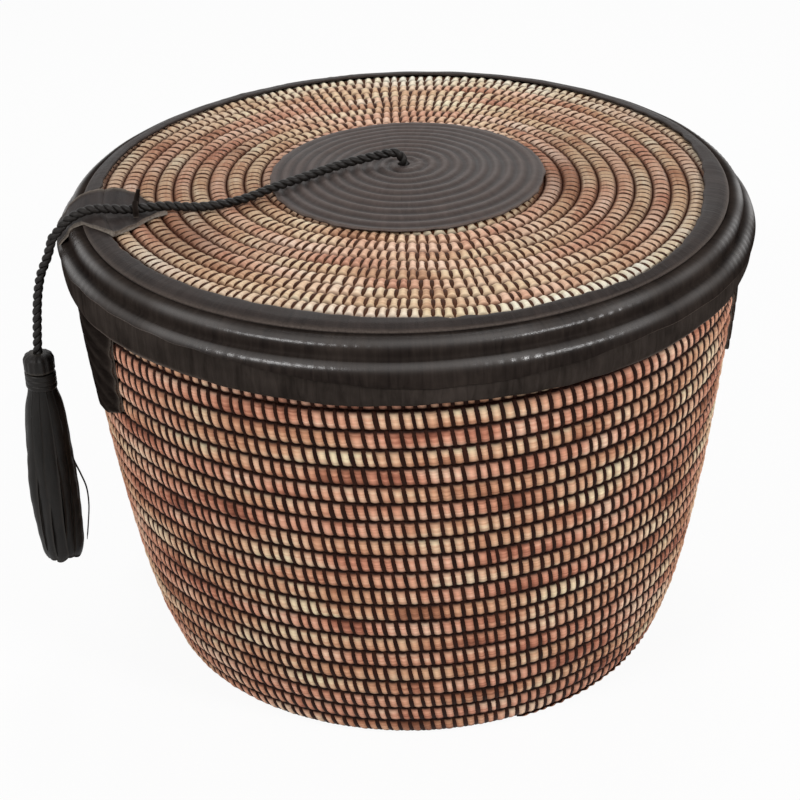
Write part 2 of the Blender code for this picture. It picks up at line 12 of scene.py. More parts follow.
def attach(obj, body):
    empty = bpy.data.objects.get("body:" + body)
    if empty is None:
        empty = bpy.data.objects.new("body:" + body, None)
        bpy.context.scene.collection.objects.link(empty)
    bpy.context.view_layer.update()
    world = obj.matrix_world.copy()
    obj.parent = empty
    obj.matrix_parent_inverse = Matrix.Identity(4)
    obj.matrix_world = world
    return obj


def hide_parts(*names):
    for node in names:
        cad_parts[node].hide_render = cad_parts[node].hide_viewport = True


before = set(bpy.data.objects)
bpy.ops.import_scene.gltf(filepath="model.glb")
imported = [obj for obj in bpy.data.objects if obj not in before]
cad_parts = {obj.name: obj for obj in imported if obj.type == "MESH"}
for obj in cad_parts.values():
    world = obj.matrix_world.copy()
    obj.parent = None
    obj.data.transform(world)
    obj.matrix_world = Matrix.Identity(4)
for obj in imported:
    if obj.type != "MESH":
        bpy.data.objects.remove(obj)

TAU = math.tau
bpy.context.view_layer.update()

# Camera of the photograph, and the turn between its side and the CAD's -Y
CAMERA_TURN = math.radians(8.8)
CAMERA_RISE = math.radians(29.066)
CAMERA_ROLL = math.radians(1.959)
CAMERA_PLACE = (-0.00630, -1.05769, 0.71581)
FRONT = -math.pi / 2 - CAMERA_TURN


def from_view(right, forward, up):
    """A point or direction given across, away from and above the camera's side, in the CAD's frame."""
    c, s = math.cos(CAMERA_TURN), math.sin(CAMERA_TURN)
    return Vector((right * c + forward * s, -right * s + forward * c, up))


def placed(name, data):
    obj = bpy.data.objects.new(name, data)
    bpy.context.scene.collection.objects.link(obj)
    return obj


def add_camera():
    data = bpy.data.cameras.new("camera")
    data.lens = 94.5
    data.sensor_width = 36.0
    data.clip_start = 0.01
    camera = placed("camera", data)
    e, r = CAMERA_RISE, CAMERA_ROLL
    right = from_view(1, 0, 0)
    up = from_view(0, math.sin(e), math.cos(e))
    ahead = from_view(0, math.cos(e), -math.sin(e))
    x_axis = right * math.cos(r) - up * math.sin(r)
    y_axis = right * math.sin(r) + up * math.cos(r)
    turned = Matrix((x_axis, y_axis, -ahead)).transposed().to_4x4()
    camera.matrix_world = Matrix.Translation(from_view(*CAMERA_PLACE)) @ turned
    bpy.context.scene.camera = camera


add_camera()

# Sizes of the CAD model
BODY_RADIUS, MOUTH_HEIGHT, WALL_ROWS, WALL_THICKNESS = 0.1805, 0.2545, 23, 0.0105
BASE_THICKNESS = 0.0100
WALL_SHAPE = ((0, .800), (.047, .827), (.131, .864), (.260, .902), (.434, .941), (.608, .971),
              (.784, .997), (.856, 1.0), (.900, .986), (.945, .980), (1, .975))
DISC_RADIUS, WEAVE_EDGE, WEAVE_TOP = 0.0745, 0.1656, 0.2633
LID_CROWN, CROWN_AT_DISC = 0.0095, 0.48
LID_PITCH, LID_THICKNESS, LID_CEILING, RIM_BORE = 0.00966, 0.0094, 0.2548, 0.1810
RIM_TOP, RIM_WIDTH, RIM_DEPTH, RIM_LEATHER = 0.2650, 0.0244, 0.0366, 0.0014
SWIVEL = Vector((-0.2068, -0.0085, 0.1874))

# The cord's route over the lid, and its hanging route, which keeps one y; in tenths of a millimetre
LID_CORD = np.array((
    (0, 0, 2628), (0, 0, 2670), (1, 0, 2711), (1, 0, 2753), (-15, 0, 2792), (-48, 1, 2813), (-90, 7, 2810),
    (-130, 14, 2802), (-171, 18, 2794), (-211, 23, 2786), (-252, 26, 2779), (-293, 25, 2772), (-334, 16, 2768),
    (-373, 2, 2765), (-412, -13, 2762), (-451, -26, 2758), (-491, -39, 2754), (-530, -52, 2749),
    (-569, -66, 2745), (-609, -79, 2741), (-648, -92, 2737), (-687, -105, 2732), (-727, -118, 2727),
    (-766, -132, 2722), (-804, -146, 2715), (-843, -159, 2709), (-883, -171, 2703), (-924, -179, 2699),
    (-965, -185, 2695), (-1006, -189, 2692), (-1048, -191, 2690), (-1090, -191, 2689), (-1131, -190, 2689),
    (-1173, -186, 2691), (-1214, -180, 2694), (-1255, -173, 2698), (-1296, -166, 2701), (-1337, -161, 2702),
    (-1379, -157, 2701), (-1420, -154, 2698), (-1462, -150, 2695), (-1503, -146, 2694), (-1545, -140, 2696),
    (-1586, -134, 2700), (-1627, -127, 2703), (-1668, -121, 2704), (-1709, -115, 2699), (-1749, -110, 2687),
    (-1786, -105, 2670), (-1821, -100, 2648), (-1852, -96, 2620), (-1878, -92, 2588), (-1906, -87, 2557),
    (-1920, -85, 2536), (-1923, -85, 2527))) / 10000
HANG_CORD = np.array([(x, -85, z) for x, z in (
    (-1920, 2536), (-1938, 2481), (-1952, 2442), (-1970, 2404), (-1988, 2367), (-2003, 2328), (-2014, 2287),
    (-2023, 2247), (-2031, 2206), (-2037, 2164), (-2043, 2123), (-2047, 2082), (-2052, 2040), (-2056, 1999),
    (-2060, 1957), (-2064, 1916), (-2068, 1874), (-2068, 1865))]) / 10000


# Small tools

def curve_value(table, x):
    """Smooth curve through a table of (x, y) pairs, held at its ends."""
    xs, ys = np.array(table, float).T
    low = np.maximum(np.arange(len(xs)) - 1, 0)
    high = np.minimum(np.arange(len(xs)) + 1, len(xs) - 1)
    slope = (ys[high] - ys[low]) / (xs[high] - xs[low])
    x = np.clip(np.asarray(x, float), xs[0], xs[-1])
    i = np.clip(np.searchsorted(xs, x, side="right") - 1, 0, len(xs) - 2)
    span = xs[i + 1] - xs[i]
    t = (x - xs[i]) / span
    return ((2 * t ** 3 - 3 * t ** 2 + 1) * ys[i] + (t ** 3 - 2 * t ** 2 + t) * span * slope[i]
            + (3 * t ** 2 - 2 * t ** 3) * ys[i + 1] + (t ** 3 - t ** 2) * span * slope[i + 1])


def from_front(angle, middle=0):
    """Degrees from a place on the way round, which is itself in degrees from the camera's side."""
    return (np.degrees(np.asarray(angle, float) - FRONT) - middle + 180) % 360 - 180


def round_table(table, angle):
    """Value of a table of (degrees from the camera's side, value) at CAD angles, going round."""
    (first, low), (last, high) = table[0], table[-1]
    return curve_value(((last - 360, high), *table, (first + 360, low)), from_front(angle))


def ripple(angle, low, high, seed, parts=14):
    """Smooth noise round a ring, of about unit size."""
    rng = np.random.default_rng(seed)
    total = np.zeros_like(np.asarray(angle, float))
    for _ in range(parts):
        total += np.sin(rng.integers(low, high + 1) * angle + rng.uniform(0, TAU))
    return total / math.sqrt(parts / 2)


def travelled(steps):
    """Distance covered at each point of a line, from the steps between its points."""
    return np.concatenate([[0], np.cumsum(steps)])


def wall_radius(z):
    return BODY_RADIUS * curve_value(WALL_SHAPE, np.asarray(z) / MOUTH_HEIGHT)


def weave_height(r):
    r = np.asarray(r, float)
    rise = LID_CROWN * CROWN_AT_DISC
    inner = rise + (LID_CROWN - rise) * (1 - (r / DISC_RADIUS) ** 2)
    outer = rise * (WEAVE_EDGE - r) / (WEAVE_EDGE - DISC_RADIUS)
    return WEAVE_TOP + np.where(r < DISC_RADIUS, inner, outer)


def polar(r, angle, z):
    return np.stack([r * np.cos(angle), r * np.sin(angle), np.broadcast_to(z, np.broadcast(r, angle).shape)], -1)


def grid(nu, nv, close_u=False, close_v=False):
    """Quads of an nu by nv grid of points, and the unwrapped place of each corner."""
    rows, columns = np.arange(nu if close_u else nu - 1), np.arange(nv if close_v else nv - 1)
    i, j = (a.ravel() for a in np.meshgrid(rows, columns, indexing="ij"))
    ci = np.stack([i, i + 1, i + 1, i], 1)
    cj = np.stack([j, j, j + 1, j + 1], 1)
    return (ci % nu) * nv + cj % nv, ci, cj


def folded(ci, cj, nu, nv, ratio):
    """Unwrapping of a long strip, folded into bands that fill the square."""
    bands = max(1, round(math.sqrt(ratio)))
    per_band = math.ceil(nu / bands)
    band = (ci[:, :1] // per_band)
    u = .002 + .996 * (ci - band * per_band) / per_band
    v = (band + .04 + .92 * cj / nv) / bands
    return np.stack([u, v], -1)


def make(name, verts, faces, unwrapped, along, point=None, face=None):
    """A mesh object from arrays: faces and their corners' two sets of UVs are lists of arrays."""
    verts = np.asarray(verts, float).reshape(-1, 3)
    volume = 0.0
    for f in faces:
        a = verts[f[:, 0]]
        for k in range(1, f.shape[1] - 1):
            volume += np.einsum("ij,ij->", a, np.cross(verts[f[:, k]], verts[f[:, k + 1]]))
    if volume < 0:
        faces, unwrapped, along = ([a[:, ::-1] for a in arrays] for arrays in (faces, unwrapped, along))
    mesh = bpy.data.meshes.new(name)
    loops = np.concatenate([f.ravel() for f in faces]).astype(np.int32)
    totals = np.concatenate([np.full(len(f), f.shape[1]) for f in faces])
    starts = np.concatenate([[0], np.cumsum(totals)[:-1]]).astype(np.int32)
    mesh.vertices.add(len(verts))
    mesh.vertices.foreach_set("co", verts.astype(np.float32).ravel())
    mesh.loops.add(len(loops))
    mesh.loops.foreach_set("vertex_index", loops)
    mesh.polygons.add(len(totals))
    mesh.polygons.foreach_set("loop_start", starts)
    mesh.polygons.foreach_set("use_smooth", np.ones(len(totals), bool))
    mesh.update(calc_edges=True)
    for key, corners in (("OFBake", unwrapped), ("along", along)):
        flat = np.concatenate([u.reshape(-1, 2) for u in corners]).astype(np.float32).ravel()
        mesh.uv_layers.new(name=key).uv.foreach_set("vector", flat)
    for domain, data in (("POINT", point), ("FACE", face)):
        for key, values in (data or {}).items():
            values = np.asarray(values, np.float32).ravel()
            mesh.attributes.new(key, "FLOAT", domain).data.foreach_set("value", values)
    return placed(name, mesh)


def loft(name, points, s, v, close_u, ratio, point, cell=None):
    """A solid from rows of closed sections; s and v are each point's place along and across, in metres."""
    points = np.asarray(points, float)
    nu, nv = points.shape[:2]
    quads, ci, cj = grid(nu, nv, close_u, True)
    s_all = np.append(s, s[-1] + (s[-1] - s[-2])) if close_u else s
    faces, unwrapped = [quads], [folded(ci, cj, nu, nv, ratio)]
    alongs = [np.stack([s_all[ci], v[cj % nv]], -1)]
    cells = None if cell is None else np.repeat(np.asarray(cell, float), nv)
    if not close_u:
        turn = TAU * np.arange(nv) / nv
        tiny = .001 + .001 * np.stack([np.cos(turn), np.sin(turn)], -1)
        faces.append(np.stack([np.arange(nv)[::-1], (nu - 1) * nv + np.arange(nv)]))
        unwrapped.append(np.stack([tiny, tiny]))
        alongs.append(np.stack([np.stack([np.full(nv, s[0]), v[::-1]], -1), np.stack([np.full(nv, s[-1]), v], -1)]))
        if cells is not None:
            cells = np.append(cells, [cell[0], cell[-1]])
    return make(name, points, faces, unwrapped, alongs, point, None if cells is None else {"cell": cells})


def finish_piece(obj, body, slot, material, *nodes):
    obj.data.materials.append(material)
    if nodes:
        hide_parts(*nodes)
    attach(obj, body)
    return obj


# Materials

def srgb(r, g, b):
    return tuple((c / 255 / 12.92 if c <= 10 else ((c / 255 + .055) / 1.055) ** 2.4) for c in (r, g, b)) + (1.0,)


def painted(stops):
    return [(place, srgb(*color)) for place, color in stops]


class Nodes:
    """Short calls for a material's node tree."""

    def __init__(self, name):
        self.material = bpy.data.materials.new(name)
        self.material.use_nodes = True
        self.tree = self.material.node_tree
        self.shader = self.tree.nodes["Principled BSDF"]

    def add(self, kind, **settings):
        node = self.tree.nodes.new(kind)
        for key, value in settings.items():
            setattr(node, key, value)
        return node

    def put(self, target, value):
        if isinstance(value, bpy.types.NodeSocket):
            self.tree.links.new(value, target)
        else:
            target.default_value = value

    def put_all(self, node, **values):
        """Fill inputs by their names, in which an underscore stands for a space."""
        for key, value in values.items():
            self.put(node.inputs[key.replace("_", " ")], value)

    def math(self, operation, a, b):
        node = self.add("ShaderNodeMath", operation=operation)
        self.put(node.inputs[0], a)
        self.put(node.inputs[1], b)
        return node.outputs[0]

    def times(self, a, b):
        return self.math("MULTIPLY", a, b)

    def plus(self, a, b):
        return self.math("ADD", a, b)

    def about_zero(self, noise, amount):
        return self.times(self.math("SUBTRACT", noise, .5), amount)

    def attribute(self, name):
        return self.add("ShaderNodeAttribute", attribute_name=name).outputs["Fac"]

    def along(self):
        """Places along and across the piece, in metres."""
        split = self.add("ShaderNodeSeparateXYZ")
        self.put(split.inputs[0], self.add("ShaderNodeUVMap", uv_map="along").outputs[0])
        return split.outputs[0], split.outputs[1]

    def place(self):
        return self.add("ShaderNodeTexCoord").outputs["Object"]

    def vector(self, x, y, z=0.0):
        node = self.add("ShaderNodeCombineXYZ")
        for socket, value in zip(node.inputs, (x, y, z)):
            self.put(socket, value)
        return node.outputs[0]

    def noise(self, vector, scale, detail, roughness, distortion=0.0, dimensions="3D"):
        node = self.add("ShaderNodeTexNoise", noise_dimensions=dimensions)
        self.put_all(node, Vector=vector, Scale=scale, Detail=detail, Roughness=roughness, Distortion=distortion)
        return node.outputs["Fac"]

    def streaks(self, places, scales, detail, roughness, distortion=0.0):
        """Noise drawn out along the piece, with one scale along it and one across."""
        vector = self.vector(*(self.times(place, scale) for place, scale in zip(places, scales)))
        return self.noise(vector, 1.0, detail, roughness, distortion, "2D")

    def ramp(self, fac, stops):
        node = self.add("ShaderNodeValToRGB")
        elements = node.color_ramp.elements
        while len(elements) < len(stops):
            elements.new(0.5)
        for element, (place, color) in zip(elements, stops):
            element.position = place
            element.color = color
        self.put(node.inputs[0], fac)
        return node.outputs[0]

    def spread(self, fac, a, b, low, high):
        """Map the range a to b onto low to high, held at its ends."""
        node = self.add("ShaderNodeMapRange")
        for socket, value in zip(node.inputs[:5], (fac, a, b, low, high)):
            self.put(socket, value)
        return node.outputs[0]

    def mix(self, fac, a, b, blend="MIX"):
        node = self.add("ShaderNodeMix", data_type="RGBA", blend_type=blend)
        for socket, value in zip((node.inputs[0], node.inputs[6], node.inputs[7]), (fac, a, b)):
            self.put(socket, value)
        return node.outputs[2]

    def bump(self, height, distance, strength, **normal):
        node = self.add("ShaderNodeBump")
        self.put_all(node, Strength=strength, Distance=distance, Height=height, **normal)
        return node.outputs[0]

    def done(self, color, roughness, normal, specular, sheen=0.0):
        self.put_all(self.shader, Base_Color=color, Roughness=roughness, Specular_IOR_Level=specular,
                     Sheen_Weight=sheen, Normal=normal)
        return self.material


def grass_material(name, stops, groove_thread_and_shade_color, pinch_shade_color, press, run_scale, edge_stops=None):
    """Bundled grass: runs of one colour along the coil, stalks, fibres, painted shade where the binding pulls it in,
    and the dark thread with painted shade in the grooves.
    """
    n = Nodes(name)
    places = n.along()
    run = n.streaks(places, (run_scale, 30.0), 2.5, .55)
    hue = n.noise(n.vector(n.times(places[0], run_scale * .55), 7.3), 1.0, 1.0, .5, dimensions="2D")
    stalk = n.streaks(places, (34.0, 620.0), 1.5, .5)
    fibre = n.streaks(places, (210.0, 2600.0), 2.0, .6)
    cell = n.add("ShaderNodeTexWhiteNoise", noise_dimensions="1D")
    n.put_all(cell, W=n.attribute("cell"))
    tone = n.plus(run, n.about_zero(stalk, .22))
    tone = n.plus(tone, n.about_zero(cell.outputs["Value"], .09))
    color = n.ramp(tone, painted(stops))
    hues = n.ramp(hue, ((.40, (1.0, .89, .90, 1.0)), (.60, (.98, 1.0, .93, 1.0))))
    color = n.mix(1.0, color, hues, "MULTIPLY")
    if edge_stops is not None:
        color = n.mix(n.attribute("edge"), color, n.ramp(tone, painted(edge_stops)))
    light = n.plus(n.about_zero(fibre, .30), 1.0)
    light = n.plus(light, n.about_zero(stalk, .26))
    color = n.mix(1.0, color, n.vector(light, light, light), "MULTIPLY")
    # Painted shade: the grass darkens towards the press colour where the binding pinches it in
    color = n.mix(n.times(n.attribute("press"), press), color, srgb(*pinch_shade_color))
    # Dark thread with painted shade: the grass darkens towards the groove colour in the grooves
    color = n.mix(n.attribute("groove"), color, srgb(*groove_thread_and_shade_color))
    normal = n.bump(n.plus(n.times(fibre, .4), stalk), .00028, .8)
    return n.done(color, n.spread(fibre, .3, .7, .50, .70), normal, .10)


def thread_material(name, dark, light):
    """Dark plant strip that binds the coils, a little glossy, with long fibres."""
    n = Nodes(name)
    fibre = n.streaks(n.along(), (260.0, 2400.0), 2.0, .6)
    patch = n.noise(n.place(), 70.0, 2.0, .5)
    color = n.ramp(n.plus(n.times(fibre, .5), n.times(patch, .5)), painted(((.38, dark), (.64, light))))
    return n.done(color, n.spread(fibre, .3, .7, .55, .75), n.bump(fibre, .00012, .6), .08)


def leather_material(name, dark, light, worn_and_highlight_color, rough, grain, crease, folds, specular, dust=0.0, polish=0.0):
    """Hand-cut leather: fine grain, creases across the strip, worn cut edges, painted highlights and sheen in the worn
    colour where a piece asks for them, painted shade in hollows, and shine where it is rubbed.
    """
    n = Nodes(name)
    place = n.place()
    cloud = n.noise(place, 34.0, 3.0, .6)
    fine = n.noise(place, 900.0, 2.0, .55)
    cells = n.add("ShaderNodeTexVoronoi", feature="DISTANCE_TO_EDGE")
    n.put_all(cells, Vector=place, Scale=820.0)
    pebble = n.math("MINIMUM", n.times(cells.outputs["Distance"], 3.0), 1.0)
    fold = n.streaks(n.along(), folds, 3.0, .62, .5)
    tone = n.plus(n.times(cloud, .6), n.times(fold, .4))
    color = n.ramp(tone, painted(((.36, dark), (.66, light))))
    # Painted shade in hollows, where a piece sets it
    color = n.mix(n.attribute("painted_hollow_shade"), color, srgb(16, 14, 13))
    # Worn cut edges, and painted highlights and sheen where a piece sets them, in the worn colour
    color = n.mix(n.times(n.attribute("edge"), n.spread(fine, .3, .7, .5, 1.0)), color, srgb(*worn_and_highlight_color))
    normal = n.bump(n.plus(n.times(pebble, .5), n.times(fine, .5)), grain, .8)
    normal = n.bump(fold, crease, .9, Normal=normal)
    if polish:
        n.put_all(n.shader, Coat_Weight=n.attribute("polish"), Coat_Roughness=polish, Coat_IOR=1.75,
                  Coat_Normal=normal)
    return n.done(color, n.spread(cloud, .35, .65, rough - .06, rough + .08), normal, specular, dust)


GRASS = ((.24, (138, 88, 68)), (.36, (186, 128, 102)), (.44, (216, 160, 130)), (.52, (230, 180, 150)),
         (.60, (238, 200, 170)), (.70, (248, 226, 194)))
LID_GRASS = ((.24, (180, 134, 110)), (.36, (216, 172, 144)), (.44, (230, 192, 162)), (.52, (240, 210, 180)),
             (.61, (246, 220, 192)), (.72, (252, 238, 214)))
EDGE_GRASS = ((.25, (236, 208, 166)), (.42, (250, 236, 204)), (.62, (254, 250, 232)))

# Colours of the grass, of its grooves (dark thread with painted shade), of the painted shade by the stitches, that
# shade's strength, and the runs' scale
wall_grass = grass_material("wall_grass", GRASS, (28, 10, 5), (82, 40, 26), .95, 13.5)
lid_grass = grass_material("lid_grass", LID_GRASS, (72, 40, 26), (122, 76, 54), .82, 17.0, EDGE_GRASS)
thread = thread_material("binding_thread", (26, 10, 6), (52, 27, 18))
lid_thread = thread_material("lid_thread", (50, 26, 14), (80, 50, 33))

# Scales of the creases along and across a strip
ACROSS, LENGTHWISE = (330.0, 46.0), (60.0, 300.0)
# Dark, light and worn colour (also used for painted highlights and sheen), roughness, height of the grain and of the
# creases, the creases' scales, specular level, dust, and the roughness of the polish
LEATHERS = {
    "rim": ((31, 26, 24), (53, 46, 42), (118, 106, 98), .46, .00005, .00010, ACROSS, 0, 0, .27),
    "skirt": ((38, 33, 30), (62, 55, 51), (124, 112, 104), .46, .00005, .00010, ACROSS, 0),
    "matte": ((30, 24, 22), (52, 44, 41), (118, 106, 98), .54, .00010, .00026, ACROSS, .10, .04),
    "disc": ((58, 49, 46), (80, 69, 65), (116, 103, 96), .58, .00010, .00014, ACROSS, .14, .05),
    "tab": ((32, 26, 25), (52, 44, 41), (142, 132, 122), .52, .00010, .00022, ACROSS, .05, .03),
    "patch": ((22, 18, 16), (40, 34, 31), (108, 98, 90), .52, .00009, .00018, LENGTHWISE, 0),
    "cord": ((18, 16, 14), (36, 32, 30), (72, 66, 60), .46, .00010, .00014, ACROSS, .20),
    "thong": ((16, 15, 13), (32, 29, 27), (60, 55, 50), .50, .00007, .00014, LENGTHWISE, .18),
}
leather = {key: leather_material(key + "_leather", *values) for key, values in LEATHERS.items()}


# Coils and their binding

# Places across a row, from one groove to the next, of the grass outside and inside and of the stitches
OUT_X = np.array([-1, -.97, -.87, -.64, -.33, 0, .33, .64, .87, .97, 1])
IN_X = np.array([.95, .55, 0, -.55, -.95])
# How far the inner face is painted towards the groove colour at its grooves: dark thread with painted shade
IN_GROOVE = np.array([.95, .1, 0, .1, .95])
RING_X = np.array([-1.0, -.93, -.78, -.5, -.17, .17, .5, .78, .93, 1.0])
RING_IN_X = np.array([.96, .5, 0, -.5, -.96])
RING_SIDES = 6
# Columns of points from one stitch to the next, and how tightly the binding holds each
COLUMN_PLACES = np.array([0, .2, .36, .5, .64, .8])
COLUMN_PINCH = np.array([1, .50, .13, 0, .13, .50])
# How far the painted shade darkens the lid's grass, and how much wider it paints its grooves
PAINTED_SHADE_PRESS, PAINTED_SHADE_GROOVE = .62, .28
# The least share of a full row that still has stitches
LEAST_ROW = .35


def bulge(x, power):
    """0 on the crest of a coil and 1 in its groove."""
    return 1 - (1 - np.minimum(np.abs(x), 1) ** power) ** (1 / power)


class Spiral:
    """A coil wound along a profile line from low to high, and the stitches that bind each turn to the last.

    counts holds each turn's stitches. line gives radius, height and the way out at a place on the profile, and
    thick the coil's thickness there. depth and inner_depth are the grooves', pinch is how far a stitch pulls
    the grass in, and lean is how far it slants, in stitches.
    """

    def __init__(self, counts, pitch, low, high, start, line, thick, depth, inner_depth, pinch, lean, seed,
                 first=.055, last=None, power=2.3, sense=1, offset=None, wobble=None, close=.45, dive=.0,
                 shade=(.60, .90), painted_shade=None):
        self.rng = np.random.default_rng(seed)
        self.power, self.sense, self.wobble = power, sense, wobble
        self.close, self.dive, self.shade, self.painted_shade = close, dive, shade, painted_shade
        self.offset = low if offset is None else offset
        self.pitch, self.low, self.high, self.start = pitch, low, high, start
        self.line, self.thick, self.depth, self.inner_depth = line, thick, depth, inner_depth
        self.pinch, self.lean, self.middle = pinch, lean, np.array([(low + high) / 2])
        knots = np.concatenate([[0], np.cumsum(counts)])
        turns = np.arange(len(knots))
        last = len(counts) - .055 if last is None else last
        number = np.arange(math.ceil(np.interp(first, turns, knots)), math.floor(np.interp(last, turns, knots)))
        self.stitch = np.interp(number + self.rng.normal(0, .07, len(number)).clip(-.16, .16), knots, turns)
        self.per_turn = np.interp(self.stitch, turns[:-1] + .5, np.asarray(counts, float))
        step = np.diff(self.stitch)
        columns = self.stitch[:-1, None] + COLUMN_PLACES * step[:, None]
        self.columns = np.append(columns.ravel(), self.stitch[-1])
        self.column_pinch = np.append(np.tile(COLUMN_PINCH, len(step)), 1.0)
        self.cell = np.repeat(np.arange(len(step)), len(COLUMN_PLACES))
        fat = self.rng.normal(0, .00016, len(step)).clip(-.0003, .0003)
        lift = np.repeat(fat, len(COLUMN_PLACES)) * (1 - self.column_pinch[:-1])
        self.column_lift = np.append(lift, 0.0)
        self.column_turn = 1 / np.interp(self.columns, turns[:-1] + .5, np.asarray(counts, float))

    def angle(self, t):
        return self.start + self.sense * TAU * t

    def ends(self, t):
        """Places of a row's two edges along the profile at turn t."""
        edges = []
        for q in (self.offset + self.pitch * (t - 1), self.offset + self.pitch * t):
            if self.wobble is not None:
                q = q + self.wobble(q, self.angle(t))
            edges.append(np.clip(q, self.low, self.high))
        return edges

    def surface(self, t, x, inside, dent, per_turn):
        """Points at turn t and place x across the coil, on its outer or inner face."""
        low, high = self.ends(t)
        width = high - low
        fill = np.clip(width / (self.pitch * .7), .15, 1)
        q = (low + high) / 2 + x * width * .4975
        r, z, nr, nz = self.line(q)
        if inside:
            off = -self.thick(q) + (self.inner_depth * bulge(x, 2.2)) * fill + dent * .8
        else:
            off = -(self.depth * bulge(x, self.power)) * fill - dent
        return r + nr * off, self.angle(t) - x * self.lean / 2 * per_turn * TAU, z + nz * off

    def coil_points(self, a, b):
        t = self.columns[a:b, None]
        dent = (self.column_pinch * self.pinch - self.column_lift)[a:b, None]
        turn = self.column_turn[a:b, None]
        edge = 1 - self.close * np.abs(OUT_X) ** 3
        outside = self.surface(t, OUT_X[None, :], False, dent * edge, turn)
        inside = self.surface(t, IN_X[None, :], True, dent, turn)
        return np.concatenate([polar(*outside), polar(*inside)], 1)

    def coils(self, name, pieces, body, material, nodes, edge=None):
        cuts = np.linspace(0, len(self.stitch) - 1, pieces + 1).round().astype(int) * len(COLUMN_PLACES)
        places, angles = np.mean(self.ends(self.columns), 0), self.angle(self.columns)
        radius = np.asarray(self.line(places)[0], float)
        s_all = travelled(np.diff(self.columns) * TAU * (radius[1:] + radius[:-1]) / 2)
        v = np.concatenate([OUT_X * self.pitch / 2, .03 + IN_X * self.pitch / 2])
        # Towards each groove the grass is painted dark: partly the binding's dark thread, partly painted shade
        near, far = self.shade
        depth = (np.abs(OUT_X) - near) / (far - near)
        open_up = np.concatenate([1 - self.close * np.abs(OUT_X) ** 3, np.ones(len(IN_X))])
        section = 2.3 * self.pitch + 2 * float(np.mean(self.thick(self.middle)))
        for k in range(pieces):
            a, b = cuts[k], cuts[k + 1] + 1
            points = self.coil_points(a, b)
            # Painted shade at the lid's sides and a painted shadow under the cord darken the grass and widen its
            # grooves
            painted_shade = np.zeros((b - a, 1)) if self.painted_shade is None else self.painted_shade(places[a:b], angles[a:b])[:, None]
            # Painted shade beside each stitch, as strong as the binding's pinch there
            pinch_shade = np.clip(self.column_pinch[a:b, None], 0, 1) * open_up[None, :]
            groove = np.clip(depth[None, :] + PAINTED_SHADE_GROOVE * painted_shade, 0, 1)
            inside = np.broadcast_to(IN_GROOVE[None, :], (b - a, len(IN_GROOVE)))
            data = {"groove": np.concatenate([groove, inside], 1),
                    "press": np.clip(np.maximum(pinch_shade, PAINTED_SHADE_PRESS * painted_shade), 0, 1)}
            if edge is not None:
                data["edge"] = np.broadcast_to(edge(places[a:b], angles[a:b])[:, None], points.shape[:2])
            ratio = (s_all[b - 1] - s_all[a]) / section
            obj = loft(f"{name}_{k + 1}", points, s_all[a:b], v, False, ratio, data, self.cell[a:b - 1])
            finish_piece(obj, body, "coiled_grass", material, *(nodes if k == 0 else ()))

    def stitches(self, name, pieces, body, material, width, rise):
        low, high = self.ends(self.stitch)
        use = (high - low) > LEAST_ROW * self.pitch
        t = self.stitch[use][:, None]
        turn = 1 / self.per_turn[use][:, None]
        count = len(t)
        rng = self.rng
        wide = width * (1 + rng.normal(0, .09, (count, 1)).clip(-.2, .2))
        tilt = rng.normal(0, .07, (count, 1)).clip(-.16, .16)
        thick = .00042 * (1 + rng.normal(0, .12, (count, 1)).clip(-.25, .25))
        dent = np.full((count, 1), self.pinch - rise)
        far_out = np.abs(RING_X[None, :])
        sink = self.dive * np.clip((far_out - .42) / .58, 0, 1) ** 1.5
        r0, a0, z0 = self.surface(t, RING_X[None, :], False, dent * (1 - .45 * far_out ** 6) + sink, turn)
        r1, a1, z1 = self.surface(t, RING_IN_X[None, :], True, dent - rise, turn)
        x = np.concatenate([RING_X, RING_IN_X])
        r, z = np.concatenate([r0, r1], 1), np.concatenate([z0, z1], 1)
        angle = np.concatenate([a0, a1], 1) - x[None, :] * tilt * turn * TAU / 2
        # Each stitch is a loop round the coil, so the way out of it comes from its neighbouring points
        before, after = np.roll(np.arange(len(x)), 1), np.roll(np.arange(len(x)), -1)
        dr, dz = r[:, after] - r[:, before], z[:, after] - z[:, before]
        size = np.hypot(dr, dz) + 1e-9
        nr, nz = dz / size, -dr / size
        _, _, out_r, out_z = self.line(self.middle)
        if np.mean(nr[:, 3] * np.mean(out_r) + nz[:, 3] * np.mean(out_z)) < 0:
            nr, nz = -nr, -nz
        around = TAU * (np.arange(RING_SIDES) + .5) / RING_SIDES
        swell = (1 - (.22 + .3 * (self.dive > 0)) * np.abs(x) ** 3)[None, :, None]
        side = (wide[:, :, None] / 2) * swell * np.cos(around)[None, None, :] * 1.12
        out = thick[:, :, None] * np.sin(around)[None, None, :]
        rr = r[:, :, None] + nr[:, :, None] * out
        zz = z[:, :, None] + nz[:, :, None] * out
        points = polar(rr, angle[:, :, None] + side / np.maximum(rr, .004), zz)
